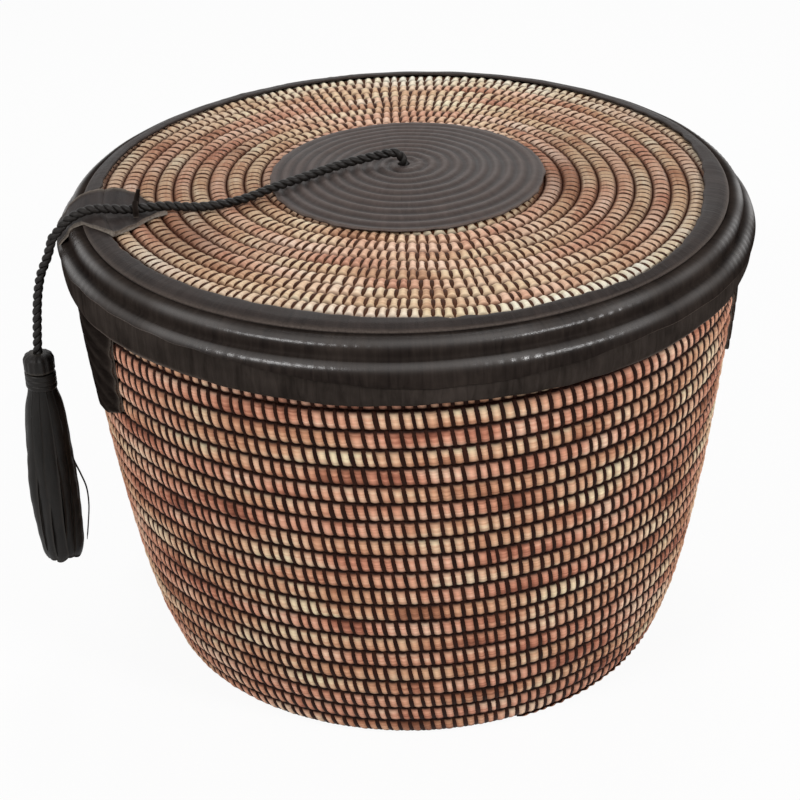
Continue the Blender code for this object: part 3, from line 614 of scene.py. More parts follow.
        # The stitches' unwrapping lies in rows and columns
        m = len(x)
        ring, ci, cj = grid(m, RING_SIDES, True, True)
        path = np.cumsum(np.hypot(np.diff(r, axis=1, prepend=r[:, -1:]), np.diff(z, axis=1, prepend=z[:, -1:])), 1)
        for k, part in enumerate(np.array_split(np.arange(count), pieces)):
            n = len(part)
            quads = (ring[None] + (np.arange(n) * m * RING_SIDES)[:, None, None]).reshape(-1, 4)
            across = max(1, round(math.sqrt(n / 8)))
            down = math.ceil(n / across)
            cx, cy = np.arange(n) % across, np.arange(n) // across
            u = (cx[:, None, None] + .03 + .94 * ci[None] / m) / across
            w = (cy[:, None, None] + .08 + .84 * cj[None] / RING_SIDES) / down
            length = np.concatenate([path[part], path[part][:, -1:] + .008], 1)
            s = np.take_along_axis(length, np.broadcast_to(ci.reshape(1, -1), (n, ci.size)), 1).reshape(n, -1, 4)
            s = s + rng.uniform(0, 9, n)[:, None, None]
            v = np.broadcast_to(cj[None] * .0008, s.shape)
            obj = make(f"{name}_{k + 1}", points[part], [quads], [np.stack([u, w], -1).reshape(-1, 4, 2)],
                       [np.stack([s, v], -1).reshape(-1, 4, 2)])
            finish_piece(obj, body, "coiled_grass", material)


def wall_line(z):
    r = wall_radius(z)
    rise = (wall_radius(np.minimum(z + .002, MOUTH_HEIGHT)) - wall_radius(np.maximum(z - .002, 0))) / .004
    size = np.hypot(1, rise)
    return r, z, 1 / size, -rise / size * .35


def floor_line(r):
    return r, np.full(np.shape(r), BASE_THICKNESS), np.zeros(np.shape(r)), np.ones(np.shape(r))


WALL_ROW = MOUTH_HEIGHT / WALL_ROWS
WALL_COUNTS = [150, 156, 157, 169, 166, 169, 172, 177, 179, 180, 180, 180,
               180, 180, 180, 183, 183, 182, 180, 180, 180, 181, 180, 178]
wall = Spiral(WALL_COUNTS, WALL_ROW, 0.0, MOUTH_HEIGHT, FRONT, wall_line,
              lambda q: np.full(np.shape(q), WALL_THICKNESS), .0029, .0017, .00130, .28, 11, shade=(.56, .84))
wall.coils("wall_coil", 5, "basket", wall_grass, ("basket_coil",))
wall.stitches("wall_stitches", 5, "basket", thread, .0027, .00040)

FLOOR_ROW, FLOOR_TURNS, FLOOR_SPACING = .0112, 13, .0060
floor_counts = [max(5, round(TAU * (FLOOR_ROW * (t + .2)) / FLOOR_SPACING)) for t in range(FLOOR_TURNS)]
floor = Spiral(floor_counts, FLOOR_ROW, .0006, .1352, FRONT + 1.2, floor_line,
               lambda q: np.full(np.shape(q), BASE_THICKNESS), .0020, .0019, .0007, .16, 23, first=.3)
floor.coils("floor_coil", 1, "basket", wall_grass, ())
floor.stitches("floor_stitches", 1, "basket", thread, .0020, .00030)

# Outlines of the rim, as shares of its width and depth: as in the CAD, and as the leather shows it
RIM_OUTLINE = ((0.000, 0.000), (0.189, 0.016), (0.361, 0.062), (0.393, 0.085), (0.412, 0.115), (0.516, 0.131),
               (0.615, 0.175), (0.697, 0.257), (0.754, 0.317), (0.844, 0.344), (0.926, 0.410), (0.984, 0.503),
               (1.000, 0.596), (0.988, 0.683))
ROLL_OUTLINE = ((.340, .113), (.412, .115), (.500, .120), (.590, .138), (.656, .167), (.701, .210), (.722, .262),
                (.716, .317), (.721, .352), (.762, .369), (.836, .383), (.914, .421), (.967, .475), (.996, .546),
                (1.004, .623), (.992, .691))
SKIRT_OUTLINE = ((.400, .890), (.475, .925), (.596, .946), (.694, .934), (.779, .939), (.874, .926), (.945, .898),
                 (1, .861), (1.06, .815))


def on_rim(outline):
    """Radius and height of an outline's points."""
    return (np.array([WEAVE_EDGE + RIM_WIDTH * across for across, _ in outline]),
            np.array([RIM_TOP - RIM_DEPTH * down for _, down in outline]))


def lid_line(r):
    r = np.asarray(r, float)
    drop = np.interp(r, [WEAVE_EDGE, .172, .176, .1806], [.0021, .0024, .0030, .0034])
    under_rim = np.interp(r, *on_rim(RIM_OUTLINE[:9])) - drop
    z = np.where(r <= WEAVE_EDGE, weave_height(r), np.minimum(weave_height(WEAVE_EDGE), under_rim))
    return r, z, np.zeros_like(r), np.ones_like(r)


def lid_thick(r):
    r = np.asarray(r, float)
    mouth = float(wall_radius(MOUTH_HEIGHT)) - 1.4 * WALL_THICKNESS
    disc_under = float(weave_height(DISC_RADIUS)) - LID_THICKNESS
    under = np.where(r < DISC_RADIUS, weave_height(r) - LID_THICKNESS,
                     np.interp(r, [DISC_RADIUS, mouth, .3], [disc_under, LID_CEILING, LID_CEILING]))
    return np.maximum(lid_line(r)[1] - under, .0006)


# By degrees from the camera's side: how far the lid's rows stray, in millimetres, and how pale the last row is
LID_PHASE = ((-180, .0), (-165, -.3), (-150, .6), (-135, .7), (-120, .2), (-105, -.8), (-90, -2.1), (-60, -4.0),
             (-45, -4.8), (-30, -6.0), (-15, -6.2), (0, -3.4), (15, .8), (30, 2.7), (45, 4.2), (60, 3.5),
             (75, 2.3), (90, 1.0), (105, .1), (120, .2), (135, .8), (150, .9), (165, .5))
PALE_TABLE = ((-180, 1.0), (-150, .8), (-125, .35), (-100, .15), (-75, .2), (-52, .7), (-35, 1.0), (45, 1.0),
              (75, .55), (100, .2), (130, .6), (155, 1.0))
# Darker places of the lid's grass, the first a painted shadow under the cord: degrees from the camera's side, half
# width, radius, half width, strength
LID_DARK_PLACES = ((-60, 14, .130, .016, .8), (-38, 8, .108, .008, .4), (84, 20, .087, .010, .6), (36, 4, .099, .006, .7),
              (68, 3, .136, .005, .7), (-117, 5, .105, .006, .6), (118, 9, .103, .006, .5), (-72, 10, .084, .006, .5))


def lid_wobble(q, angle):
    """How far the rows of the lid stray from an even spiral."""
    weight = np.clip((q - .060) / .020, 0, 1) * np.clip((.178 - q) / .008, 0, 1)
    return .001 * round_table(LID_PHASE, angle) * weight


def painted_shade_of_grass(q, angle):
    """Painted shade on the lid's grass: most at its sides, and in its darker places, the first of them a painted shadow
    under the cord.
    """
    total = np.sin(angle - FRONT) ** 2
    for middle, half, radius, reach, strength in LID_DARK_PLACES:
        away = from_front(angle, middle)
        total = total + strength * np.exp(-(away / half) ** 2 - ((q - radius) / reach) ** 2)
    return total


def pale_grass(q, angle):
    """The palest grass, in the outermost row and least at the lid's two sides."""
    return np.clip((q - .1515) / .006, 0, 1) * np.clip(round_table(PALE_TABLE, angle), 0, 1)


LID_COUNTS = [6, 10, 21, 32, 44, 56, 68, 81, 98, 106, 124, 142, 146, 148, 150, 172, 186, 190, 196, 200]
lid = Spiral(LID_COUNTS, LID_PITCH, .0034, .1806, FRONT + math.pi, lid_line, lid_thick, .0028, .0015, .00155,
             .10, 31, first=.25, last=19.3, power=2.2, sense=-1, offset=.0047, wobble=lid_wobble, close=.6,
             dive=.0007, shade=(.68, 1.02), painted_shade=painted_shade_of_grass)
lid.coils("lid_coil_top", 2, "lid", lid_grass, ("lid_coil",), pale_grass)
lid.stitches("lid_stitches", 2, "lid", lid_thread, .0028, .00048)


def rim_face(depth_share, below_seam):
    """Radius of the rim's outer face at a share of its depth, above or below the seam."""
    upper = curve_value(tuple((d, w) for w, d in ROLL_OUTLINE[8:]) + ((.74, .984),), depth_share)
    lower = curve_value(SKIRT_OUTLINE, depth_share)
    return WEAVE_EDGE + RIM_WIDTH * np.where(below_seam, lower, upper)


def rim_line(z):
    z = np.asarray(z, float)
    share = (RIM_TOP - z) / RIM_DEPTH
    r = np.minimum(rim_face(share, True), rim_face(share, False)) - .0023
    return r, z, np.ones_like(r), np.zeros_like(r)


rim_rows = Spiral([204] * 5, .0079, RIM_TOP - RIM_DEPTH + .0004, .2525, FRONT, rim_line,
                  lambda q: np.maximum(rim_line(q)[0] - RIM_BORE - .0002, .0016), .0008, .0014, .0006, .2, 41,
                  first=.08, last=3.9)
rim_rows.coils("rim_rows", 1, "lid", lid_grass, (), lambda q, angle: np.zeros(np.shape(q)))
rim_rows.stitches("rim_row_stitches", 1, "lid", thread, .0019, .00028)


# Leather rim

RIM_STEPS = 960
ROUND_BY = .00035
phi = FRONT + math.pi + TAU * np.arange(RIM_STEPS) / RIM_STEPS
degrees = np.degrees(phi - FRONT)


def strip(name, outer_r, outer_z, back_step, material, slot, node, wear_and_highlight, polish=None):
    """A leather strip round the rim from its outer face, given a back and rounded cut edges."""
    dr, dz = np.gradient(outer_r, axis=1), np.gradient(outer_z, axis=1)
    size = np.hypot(dr, dz) + 1e-9
    nr, nz = -dz / size, dr / size
    if np.mean(nz + nr) < 0:
        nr, nz = -nr, -nz
    count = outer_r.shape[1]
    pull = np.zeros(count)
    pull[[0, -1]] = ROUND_BY
    picks = np.unique(np.append(np.arange(count - 1, -1, -back_step), 0))[::-1]
    r = np.concatenate([outer_r - nr * pull, (outer_r - nr * RIM_LEATHER)[:, picks]], 1)
    z = np.concatenate([outer_z - nz * pull, (outer_z - nz * RIM_LEATHER)[:, picks]], 1)
    points = polar(r, phi[:, None], z)
    middle = float(outer_r.mean())
    across = travelled(np.hypot(np.diff(outer_r.mean(0)), np.diff(outer_z.mean(0))))
    data = {}
    for key, values in (("edge", wear_and_highlight), ("polish", polish)):
        if values is not None:
            data[key] = np.zeros(points.shape[:2])
            data[key][:, :count] = values
    obj = loft(name, points, (phi - phi[0]) * middle, np.concatenate([across, across[picks] + .05]), True,
               TAU * middle / (2.2 * across[-1]), data)
    return finish_piece(obj, "lid", slot, material, node)


# By degrees from the camera's side: radius of the weave's edge, and heights of the seam and of the hem
EDGE_TABLE = ((-170, .1650), (-142, .1643), (-127, .1658), (-110, .1668), (-75, .1652), (-50, .1640), (-30, .1625),
              (-19, .1626), (-8, .1646), (2, .1658), (11, .1680), (21, .1682), (27, .1678), (42, .1700),
              (60, .1660), (80, .1618), (96, .1645), (110, .1672), (131, .1649), (155, .1655))
SEAM_TABLE = ((-150, .2425), (-100, .2450), (-61, .2470), (-42, .2474), (-29, .2462), (-16, .2428), (-7, .2402),
              (3, .2387), (14, .2390), (36, .2428), (70, .2412), (110, .2400), (160, .2410))
HEM_TABLE = ((-170, .2284), (-120, .2278), (-66, .2264), (-54, .2284), (-44, .2294), (-30, .2292), (-17, .2280),
             (-8, .2270), (3, .2284), (13, .2281), (37, .2272), (51, .2286), (65, .2272), (110, .2280),
             (150, .2288))

# Flat band round the weave
edge_r = round_table(EDGE_TABLE, phi) + .00025 * ripple(phi, 25, 90, 3)
share = np.append(np.linspace(0, .955, 12), (.985, 1))
line_r, line_z = on_rim(RIM_OUTLINE[:4] + ((.403, .110),))
band_r = edge_r[:, None] + (line_r[-1] - edge_r)[:, None] * share
band_z = np.where(band_r <= WEAVE_EDGE, weave_height(band_r) + .0017, np.interp(band_r, line_r, line_z))
creased = np.clip(.25 + .55 * ripple(phi, 2, 6, 5), 0, 1) + .5 * np.exp(-((degrees % 360 - 48) / 34) ** 2)
wrinkle = np.maximum(ripple(phi, 60, 190, 7), 0)[:, None] * creased[:, None]
wrinkle = wrinkle * np.sin(math.pi * (share * .8 + .15))[None, :]
band_z = band_z + .00016 * wrinkle + .00010 * ripple(phi, 8, 40, 9)[:, None] * np.sin(math.pi * share)[None, :]
wear_and_highlight = np.concatenate([[.15], np.zeros(9), [.15, .45, .5, .2]])
strip("rim_band", band_r, band_z, 4, leather["matte"], "matte_leather", "rim_top_band", wear_and_highlight)

# Face of the roll's two beads, down to the seam
seam = round_table(SEAM_TABLE, phi) + .00020 * ripple(phi, 12, 50, 13)
hem = round_table(HEM_TABLE, phi) + .00022 * ripple(phi, 14, 60, 15)
outline = np.array(ROLL_OUTLINE)
chord = travelled(np.hypot(*(np.diff(outline, axis=0) * (RIM_WIDTH, RIM_DEPTH)).T))
dense = np.linspace(0, chord[-1], 200)
dense_w, dense_d = (curve_value(tuple(zip(chord, outline[:, k])), dense) for k in (0, 1))
seam_share = (RIM_TOP - seam) / RIM_DEPTH
past_end = np.maximum(seam_share - dense_d[-1], 0) * RIM_DEPTH
place = (np.interp(seam_share, dense_d, dense) + past_end)[:, None] * np.linspace(0, 1, 40)[None, :]
roll_r = WEAVE_EDGE + RIM_WIDTH * np.interp(place, dense, dense_w)
roll_z = RIM_TOP - RIM_DEPTH * np.interp(place, dense, dense_d) - np.maximum(place - dense[-1], 0)


def dimples(angle, number, seed):
    """Stitches of the coils underneath, pressing through the leather in places."""
    wave = np.cos(number * angle + .9 * ripple(angle, 3, 14, seed))
    where = np.clip(.45 + .55 * ripple(angle, 3, 11, seed + 1), 0, 1.2)
    return (wave * .5 + .5) * where


def hump(middle, half):
    """1 at a place across the roll, falling off on both sides."""
    return np.exp(-((place - middle) / half) ** 2)


# Dimples, polish on the two beads, a painted sheen on their tops, and wear on the cut edge
press = dimples(phi, 204, 21)[:, None] * hump(.0085, .0028) + dimples(phi, 198, 27)[:, None] * hump(.0212, .0034)
right_side = np.clip((degrees - 8 + 180) % 360 / 20 - 9, 0, 1)
push = -(.00020 + .00026 * right_side[:, None]) * press + .00010 * ripple(phi, 5, 30, 33)[:, None]
roll_r = roll_r + push * np.clip(place / .012, 0, 1)
roll_z = roll_z + push * np.clip(1 - place / .012, 0, 1)
beside = np.clip((np.abs(from_front(phi)) - 30) / 15, 0, 1)
polish = np.clip(hump(.0076, .0021) + hump(.0203, .0023), 0, 1)
polish = polish * (.75 + .25 * np.clip(ripple(phi, 4, 22, 35), -1, 1))[:, None]
# Painted sheen: the bead tops are lightened towards the worn colour
wear_and_highlight = .10 * polish
wear_and_highlight[:, -1] = .1 + .6 * beside
strip("rim_roll_leather", roll_r, roll_z, 5, leather["rim"], "black_leather", "rim_roll", wear_and_highlight, polish)

# Skirt, tucked a little under the seam
SKIRT_TUCK = .0022
share = np.linspace(0, 1, 20)
skirt_z = (seam + SKIRT_TUCK)[:, None] + (hem - seam - SKIRT_TUCK)[:, None] * share[None, :]
skirt_r = rim_face((RIM_TOP - skirt_z) / RIM_DEPTH, True)
press = dimples(phi, 201, 43)[:, None] * np.exp(-((share - .55) / .25) ** 2)[None, :]
skirt_r = skirt_r - .00016 * press + .00014 * ripple(phi, 7, 36, 45)[:, None] * share[None, :]
wear_and_highlight = np.zeros(skirt_r.shape)
wear_and_highlight[:, -3:] = np.stack([.2 * beside, .75 * beside, .35 + .6 * beside], 1)
strip("rim_skirt_leather", skirt_r, skirt_z, 5, leather["skirt"], "black_leather", "rim_skirt", wear_and_highlight)

# Disc pressed over the coils in the lid's middle, in a spiral of rings
DISC_LAP, DISC_STEPS, DISC_RINGS = .0068, 300, 92
rings = np.linspace(.0032, DISC_RADIUS, DISC_RINGS)
turn = FRONT + TAU * np.arange(DISC_STEPS) / DISC_STEPS
disc_r = np.broadcast_to(rings[None, :], (DISC_STEPS, DISC_RINGS)).copy()
wave = np.cos(TAU * (disc_r / DISC_LAP - (turn[:, None] - FRONT) / TAU))
ridge = np.sign(wave) * np.abs(wave) ** .75
fade = np.clip((DISC_RADIUS - disc_r) / .004, 0, 1) * np.clip((disc_r - .004) / .004, 0, 1)
disc_z = weave_height(disc_r) + .0003 + .0013 + .00055 * ridge * fade - .0003 * fade
disc_z = disc_z + .00010 * ripple(turn, 3, 12, 51)[:, None] * fade
disc_r[:, -1] += .0003 * ripple(turn, 9, 50, 53)
outermost = DISC_RINGS - 1
under = np.array([outermost, 60, 30, 0])
all_r = np.concatenate([disc_r, disc_r[:, under]], 1)
all_z = np.concatenate([disc_z, weave_height(disc_r[:, under]) + .0004], 1)
all_z[:, outermost] -= .0004
shift = from_view(.0018, -.0012, 0)
points = polar(all_r, turn[:, None], all_z)
points = points + np.clip(all_r / DISC_RADIUS, 0, 1)[..., None] * np.array([shift.x, shift.y, 0.0])
inner = np.s_[:, :outermost - 1]
wear_and_highlight, painted_hollow_shade = np.zeros(points.shape[:2]), np.zeros(points.shape[:2])
wear_and_highlight[:, outermost - 1:outermost + 1] = .3, .8
# Painted highlight on the ring ridges, and painted shade in the hollows between them
wear_and_highlight[inner] += .16 * np.clip(ridge[inner], 0, 1) * fade[inner]
painted_hollow_shade[inner] = .55 * np.clip(-ridge[inner], 0, 1) ** 1.5 * fade[inner]
disc = loft("disc_cover", points, turn * .04, np.concatenate([rings, rings[under] + .1]), True, 3.0,
            {"edge": wear_and_highlight, "painted_hollow_shade": painted_hollow_shade})
finish_piece(disc, "lid", "matte_leather", leather["disc"], "lid_disc")


# Leather sheets on the wall and over the rim

def sheet_solid(name, front, back, s, v, wear_and_highlight, body, material, *nodes):
    """A closed sheet from a grid of front points and one of back points."""
    nu, nv = front.shape[:2]
    quads, ci, cj = grid(nu, nv)
    base = nu * nv
    across, down = ci / (nu - 1), .03 + .94 * (cj / (nv - 1))
    places = np.stack([s[ci], v[cj]], -1)
    border = np.concatenate([np.arange(nv), np.arange(1, nu) * nv + nv - 1,
                             (nu - 1) * nv + np.arange(nv - 2, -1, -1), np.arange(nu - 2, 0, -1) * nv])
    after = np.roll(border, -1)
    faces = [quads, quads[:, ::-1] + base, np.stack([after, border, border + base, after + base], 1)]
    k = np.arange(len(border)) / len(border)
    corners = ((.98, k), (.98, k), (.995, k), (.995, k + 1 / len(border)))
    uvs = [np.stack([.01 + .46 * across, down], -1), np.stack([.52 + .44 * across, down], -1)[:, ::-1],
           np.stack([np.stack([x + 0 * k, y], -1) for x, y in corners], 1)]
    alongs = [places, places[:, ::-1], np.zeros((len(border), 4, 2)) + np.stack([k * .4, k * 0], -1)[:, None, :]]
    edge = np.concatenate([wear_and_highlight.ravel(), np.maximum(wear_and_highlight, .4).ravel()])
    obj = make(name, np.concatenate([front.reshape(-1, 3), back.reshape(-1, 3)]), faces, uvs, alongs, {"edge": edge})
    return finish_piece(obj, body, "black_leather", material, *nodes)


PATCH_HALF_ANGLE, PATCH_FOOT, PATCH_RISE = math.radians(22.8), .154, .024


def patch(name, middle, node, seed):
    """A leather patch centred on an angle of the wall, with the wall's rows showing through."""
    across = np.linspace(-1, 1, 61)
    up = np.linspace(0, 1, 121)
    a, u = np.meshgrid(across, up, indexing="ij")
    rng = np.random.default_rng(seed)
    low = PATCH_FOOT + PATCH_RISE * np.abs(a) ** 1.5
    low = low + .0008 * np.sin(a * 7 + rng.uniform(0, 6)) + .0005 * np.sin(a * 17 + rng.uniform(0, 6))
    z = low + (MOUTH_HEIGHT - .0012 - low) * u
    angle = a * PATCH_HALF_ANGLE + middle
    rows = np.cos(TAU * (z / WALL_ROW - ((angle - FRONT) / TAU) % 1 - .5))
    inset = np.minimum(np.minimum(1 - np.abs(a), u * 3), 1)
    off = .0005 + .0013 + .00055 * np.sign(rows) * np.abs(rows) ** .8 - .00045 * np.exp(-inset / .02)
    front = polar(wall_radius(z) + np.minimum(off, .0019), angle, z)
    back = polar(wall_radius(z) + .0004 - .0008 * (1 - np.clip(inset / .05, 0, 1)), angle, z)
    wear_and_highlight = .75 * np.exp(-inset / .018) + .10 * np.clip(rows, 0, 1)
    sheet_solid(name, front, back, across * .077, up * .10, wear_and_highlight, "basket", leather["patch"], node)


patch("patch_left", math.pi, "side_patch_left", 3)
patch("patch_right", 0, "side_patch_right", 4)

# The lid's top from the weave to the rim's second bead, by distance along it
rim_r, rim_z = on_rim([p for i, p in enumerate(RIM_OUTLINE) if i in (0, 1, 2, 5, 6, 7, 9, 10, 11, 12)])
r_line = np.linspace(.05, WEAVE_EDGE, 60, endpoint=False)
r_line, z_line = np.append(r_line, rim_r), np.append(weave_height(r_line), rim_z)
s_line = travelled(np.hypot(np.diff(r_line), np.diff(z_line)))


def on_lid(start_r, distance, height):
    """Points a distance out along the lid's top from a radius, and a height above it."""
    where = np.asarray(np.interp(start_r, r_line, s_line) + distance, float)
    dr, dz = (np.interp(where + .0012, s_line, line) - np.interp(where - .0012, s_line, line)
              for line in (r_line, z_line))
    size = np.hypot(dr, dz)
    return np.interp(where, s_line, r_line) - dz / size * height, np.interp(where, s_line, z_line) + dr / size * height


# Tab: distance from its tip along the lid, and where its far and near sides are
TAB_TIP = .1310
TAB_SHAPE = ((0, .0150, .0168), (.0073, .0030, .0195), (.0148, -.0127, .0248), (.0205, -.0195, .0290),
             (.0280, -.0238, .0338), (.0332, -.0222, .0364), (.0352, -.0214, .0352), (.0377, -.0207, .0296),
             (.0416, -.0205, .0216), (.0447, -.0206, .0140), (.0490, -.0208, .0112), (.0700, -.0190, .0090))
tab_length = float(s_line[-3] - np.interp(TAB_TIP, r_line, s_line))
along = np.linspace(0, 1, 111)
cross = np.linspace(-1, 1, 41)
tab_s, tab_far, tab_near = np.array(TAB_SHAPE).T
tab_far = np.interp(along * tab_length, tab_s, tab_far) + .0004 * np.sin(along * 23 + 1)
tab_near = np.interp(along * tab_length, tab_s, tab_near) + .0004 * np.sin(along * 19 + 2)
al, cr = np.meshgrid(along, cross, indexing="ij")
clear = np.clip((1 - al) / .25, 0, 1)
lift = .0014 + .0006 * clear + .0009 * clear * np.exp(-(1 - np.abs(cr)) / .05) + .0004 * np.exp(-al / .03)
reach = al * tab_length + TAB_TIP
lift = lift + .00022 * np.where(reach < WEAVE_EDGE, np.cos(TAU * reach / LID_PITCH), 0)
front_r, front_z = on_lid(TAB_TIP, al * tab_length, lift)
back_r, back_z = on_lid(TAB_TIP, al * tab_length, .0002 + .0002 * clear)
angle = math.pi + (tab_far[:, None] + (tab_near - tab_far)[:, None] * (cr + 1) / 2) / front_r
wear_and_highlight = .95 * np.exp(-(1 - np.abs(cr)) / .035) + .9 * np.exp(-al / .012) + .5 * np.exp(-(1 - al) / .012)
sheet_solid("tab_leather", polar(front_r, angle, front_z), polar(back_r, angle, back_z), along * tab_length,
            cross * .02, np.clip(wear_and_highlight, 0, 1), "lid", leather["tab"], "rim_tab")


# Cords

STRANDS, STRAND_RADIUS, STRAND_OFFSET, STRAND_LAY, STRAND_SIDES = 2, .00142, .00128, .0092, 10


def unit(vectors):
    return vectors / np.linalg.norm(vectors, axis=-1, keepdims=True)


def even_path(points, spacing):
    """Even points along a smooth curve through the given ones."""
    p = np.asarray(points, float)
    p = np.concatenate([[2 * p[0] - p[1]], p, [2 * p[-1] - p[-2]]])
    t = np.linspace(0, 1, 24, endpoint=False)[:, None]
    fine = [.5 * (2 * b + (c - a) * t + (2 * a - 5 * b + 4 * c - d) * t ** 2 + (3 * b - a - 3 * c + d) * t ** 3)
            for a, b, c, d in zip(p, p[1:], p[2:], p[3:])]
    fine = np.concatenate(fine + [p[-2:-1]])
    length = travelled(np.linalg.norm(np.diff(fine, axis=0), axis=1))
    want = np.linspace(0, length[-1], max(2, round(length[-1] / spacing)) + 1)
    return np.stack([np.interp(want, length, fine[:, k]) for k in range(3)], -1), want


def frames(path):
    """Two directions square to a path and to each other, without twist."""
    tangent = unit(np.gradient(path, axis=0))
    one = np.zeros_like(path)
    guess = np.array([0.0, 1.0, 0.0]) if abs(tangent[0][1]) < .9 else np.array([1.0, 0, 0])
    for i, t in enumerate(tangent):
        guess = unit(guess - t * (guess @ t))
        one[i] = guess
    return one, np.cross(tangent, one)


def twisted(name, route, seed):
    """Strands wound round a route, as one mesh."""
    path, length = even_path(route, .0007)
    one, two = frames(path)
    rng = np.random.default_rng(seed)
    wobble = 1 + .05 * np.sin(length / .011 + rng.uniform(0, 6)) + .03 * np.sin(length / .0047 + rng.uniform(0, 6))
    around = TAU * np.arange(STRAND_SIDES) / STRAND_SIDES
    tiny = np.full((1, STRAND_SIDES, 2), .0005) + .0004 * np.stack([np.cos(around), np.sin(around)], -1)[None]
    wide, tall = STRAND_RADIUS * 1.12 * wobble, STRAND_RADIUS * .95
    quads, ci, cj = grid(len(path), STRAND_SIDES, False, True)
    uv = folded(ci, cj, len(path), STRAND_SIDES, length[-1] / (TAU * STRAND_RADIUS))
    verts, tubes, caps = [], [], []
    for k in range(STRANDS):
        turn = TAU * (length / STRAND_LAY + k / STRANDS) + .25 * np.sin(length / .017)
        centre = path + STRAND_OFFSET * (np.cos(turn)[:, None] * one + np.sin(turn)[:, None] * two)
        ahead = unit(np.gradient(centre, axis=0))
        out = centre - path
        out = unit(out - ahead * np.einsum("ij,ij->i", out, ahead)[:, None])
        side = np.cross(ahead, out)
        ring = (centre[:, None, :] + (wide[:, None] * np.sin(around))[:, :, None] * side[:, None, :]
                + tall * np.cos(around)[None, :, None] * out[:, None, :])
        base = k * len(path) * STRAND_SIDES
        verts.append(ring.reshape(-1, 3))
        tubes.append((quads + base, np.stack([uv[..., 0], (uv[..., 1] + k) / STRANDS], -1),
                      np.stack([length[ci], cj * STRAND_RADIUS + k * .1], -1)))
        for row, step in ((0, -1), (len(path) - 1, 1)):
            cap = (row * STRAND_SIDES + np.arange(STRAND_SIDES))[::step] + base
            caps.append((cap[None], tiny, np.zeros((1, STRAND_SIDES, 2))))
    verts = np.concatenate(verts)
    # Faces, unwrapping and places of the tubes and of their ends
    faces, uvs, alongs = ([np.concatenate(a), np.concatenate(b)] for a, b in zip(zip(*tubes), zip(*caps)))
    return make(name, verts, faces, uvs, alongs, {"edge": np.zeros(len(verts))}), path


lid_cord, path = twisted("lid_cord_twist", LID_CORD, 61)
finish_piece(lid_cord, "lid", "leather_cord", leather["cord"], "lid_cord")

hang_cord, hang_path = twisted("hang_cord_twist", HANG_CORD, 63)
finish_piece(hang_cord, "cord", "leather_cord", leather["cord"], "hang_cord")


def tube(name, route, wide, tall, up, sides, spacing, body, slot, material, *nodes, taper=0.0):
    """A strap or thong along a route: an oval section, its width square to the up directions."""
    path, length = even_path(route, spacing)
    tangent = unit(np.gradient(path, axis=0))
    side = unit(np.cross(tangent, np.asarray(up(path), float)))
    over = np.cross(side, tangent)
    around = TAU * np.arange(sides) / sides
    square_off = np.sign(np.cos(around)) * np.abs(np.cos(around)) ** .7
    thin = 1 - taper * np.clip((length - length[-1] + .004) / .004, 0, 1)
    ring = (path[:, None, :] + (wide / 2 * thin)[:, None, None] * square_off[None, :, None] * side[:, None, :]
            + (tall / 2 * thin)[:, None, None] * np.sin(around)[None, :, None] * over[:, None, :])
    wear_and_highlight = .5 * np.abs(np.cos(around)) ** 6 + np.zeros((len(path), 1))
    wear_and_highlight[[0, -1]] = .8
    obj = loft(name, ring, length, np.cumsum(np.full(sides, wide / sides * 2)), False,
               length[-1] / (2.4 * wide), {"edge": wear_and_highlight})
    return finish_piece(obj, body, slot, material, *nodes)


# Knot under the lid
t = np.linspace(0, TAU, 90)
knot = np.stack([np.sin(t) + 2 * np.sin(2 * t), np.cos(t) - 2 * np.cos(2 * t), -np.sin(3 * t) * 1.5], -1) * .00135
tube("knot_turns", knot + np.array([0, 0, .2628 - .0003 - .0050]), .0036, .0034,
     lambda p: p - np.array([0, 0, .2575]), 10, .0006, "lid", "leather_cord", leather["cord"], "cord_knot")

# Thong that ties the cord to the tab, its free end turned up: steps sideways, up and back from its last turn
FREE_END = ((.0016, -.0002, 0), (.0040, .0014, 0), (.0058, .0046, .0008), (.0064, .0078, .0020))
nearest = int(np.argmin(np.abs(np.hypot(LID_CORD[:, 0], LID_CORD[:, 1]) - .1482)))
centre = LID_CORD[nearest]
ahead = unit(LID_CORD[nearest + 1] - LID_CORD[nearest - 1])
side = unit(np.array([-ahead[1], ahead[0], 0.0]))
side = side * np.sign(side[1])
over = np.cross(ahead, side)
over = over * np.sign(over[2])
arch = [centre + .0036 * (-side * math.cos(a) + over * math.sin(a)) for a in np.linspace(-.45, math.pi + .25, 12)]
arch = [arch[0] - over * .0018 - side * .0004] + arch
arch += [arch[-1] + side * a + over * b - ahead * c for a, b, c in FREE_END]
tube("tie_strap", arch, .0030, .0011, lambda p: (p - centre) - np.outer((p - centre) @ ahead, ahead) + over * .002,
     10, .0005, "lid", "black_leather", leather["patch"], "tab_thong", taper=.35)

# Tassel's cap: radius, height over the swivel and depth of the pleats along its profile
CAP_PROFILE = ((.0016, .0004, 0), (.0034, .0003, .1), (.0052, -.0001, .5), (.0068, -.0008, .9), (.0078, -.0017, 1),
               (.0083, -.0030, 1), (.0084, -.0048, .9), (.0083, -.0070, .8), (.0083, -.0084, .8),
               (.0084, -.0094, .6), (.0082, -.0100, .4), (.0060, -.0100, 0), (.0024, -.0100, 0), (.0016, -.0060, 0))
swivel = np.array(SWIVEL)
turn = TAU * np.arange(120) / 120
pleat = .00022 * np.cos(14 * turn + .8 * ripple(turn, 2, 5, 71))
cap_r, cap_z, weight = np.array(CAP_PROFILE).T
cap_r = cap_r[None, :] + pleat[:, None] * weight
points = polar(cap_r, turn[:, None], np.broadcast_to(cap_z[None, :], cap_r.shape)) + swivel
wear_and_highlight = np.zeros(points.shape[:2])
wear_and_highlight[:, 9:11], wear_and_highlight[:, 0:2] = .7, .5
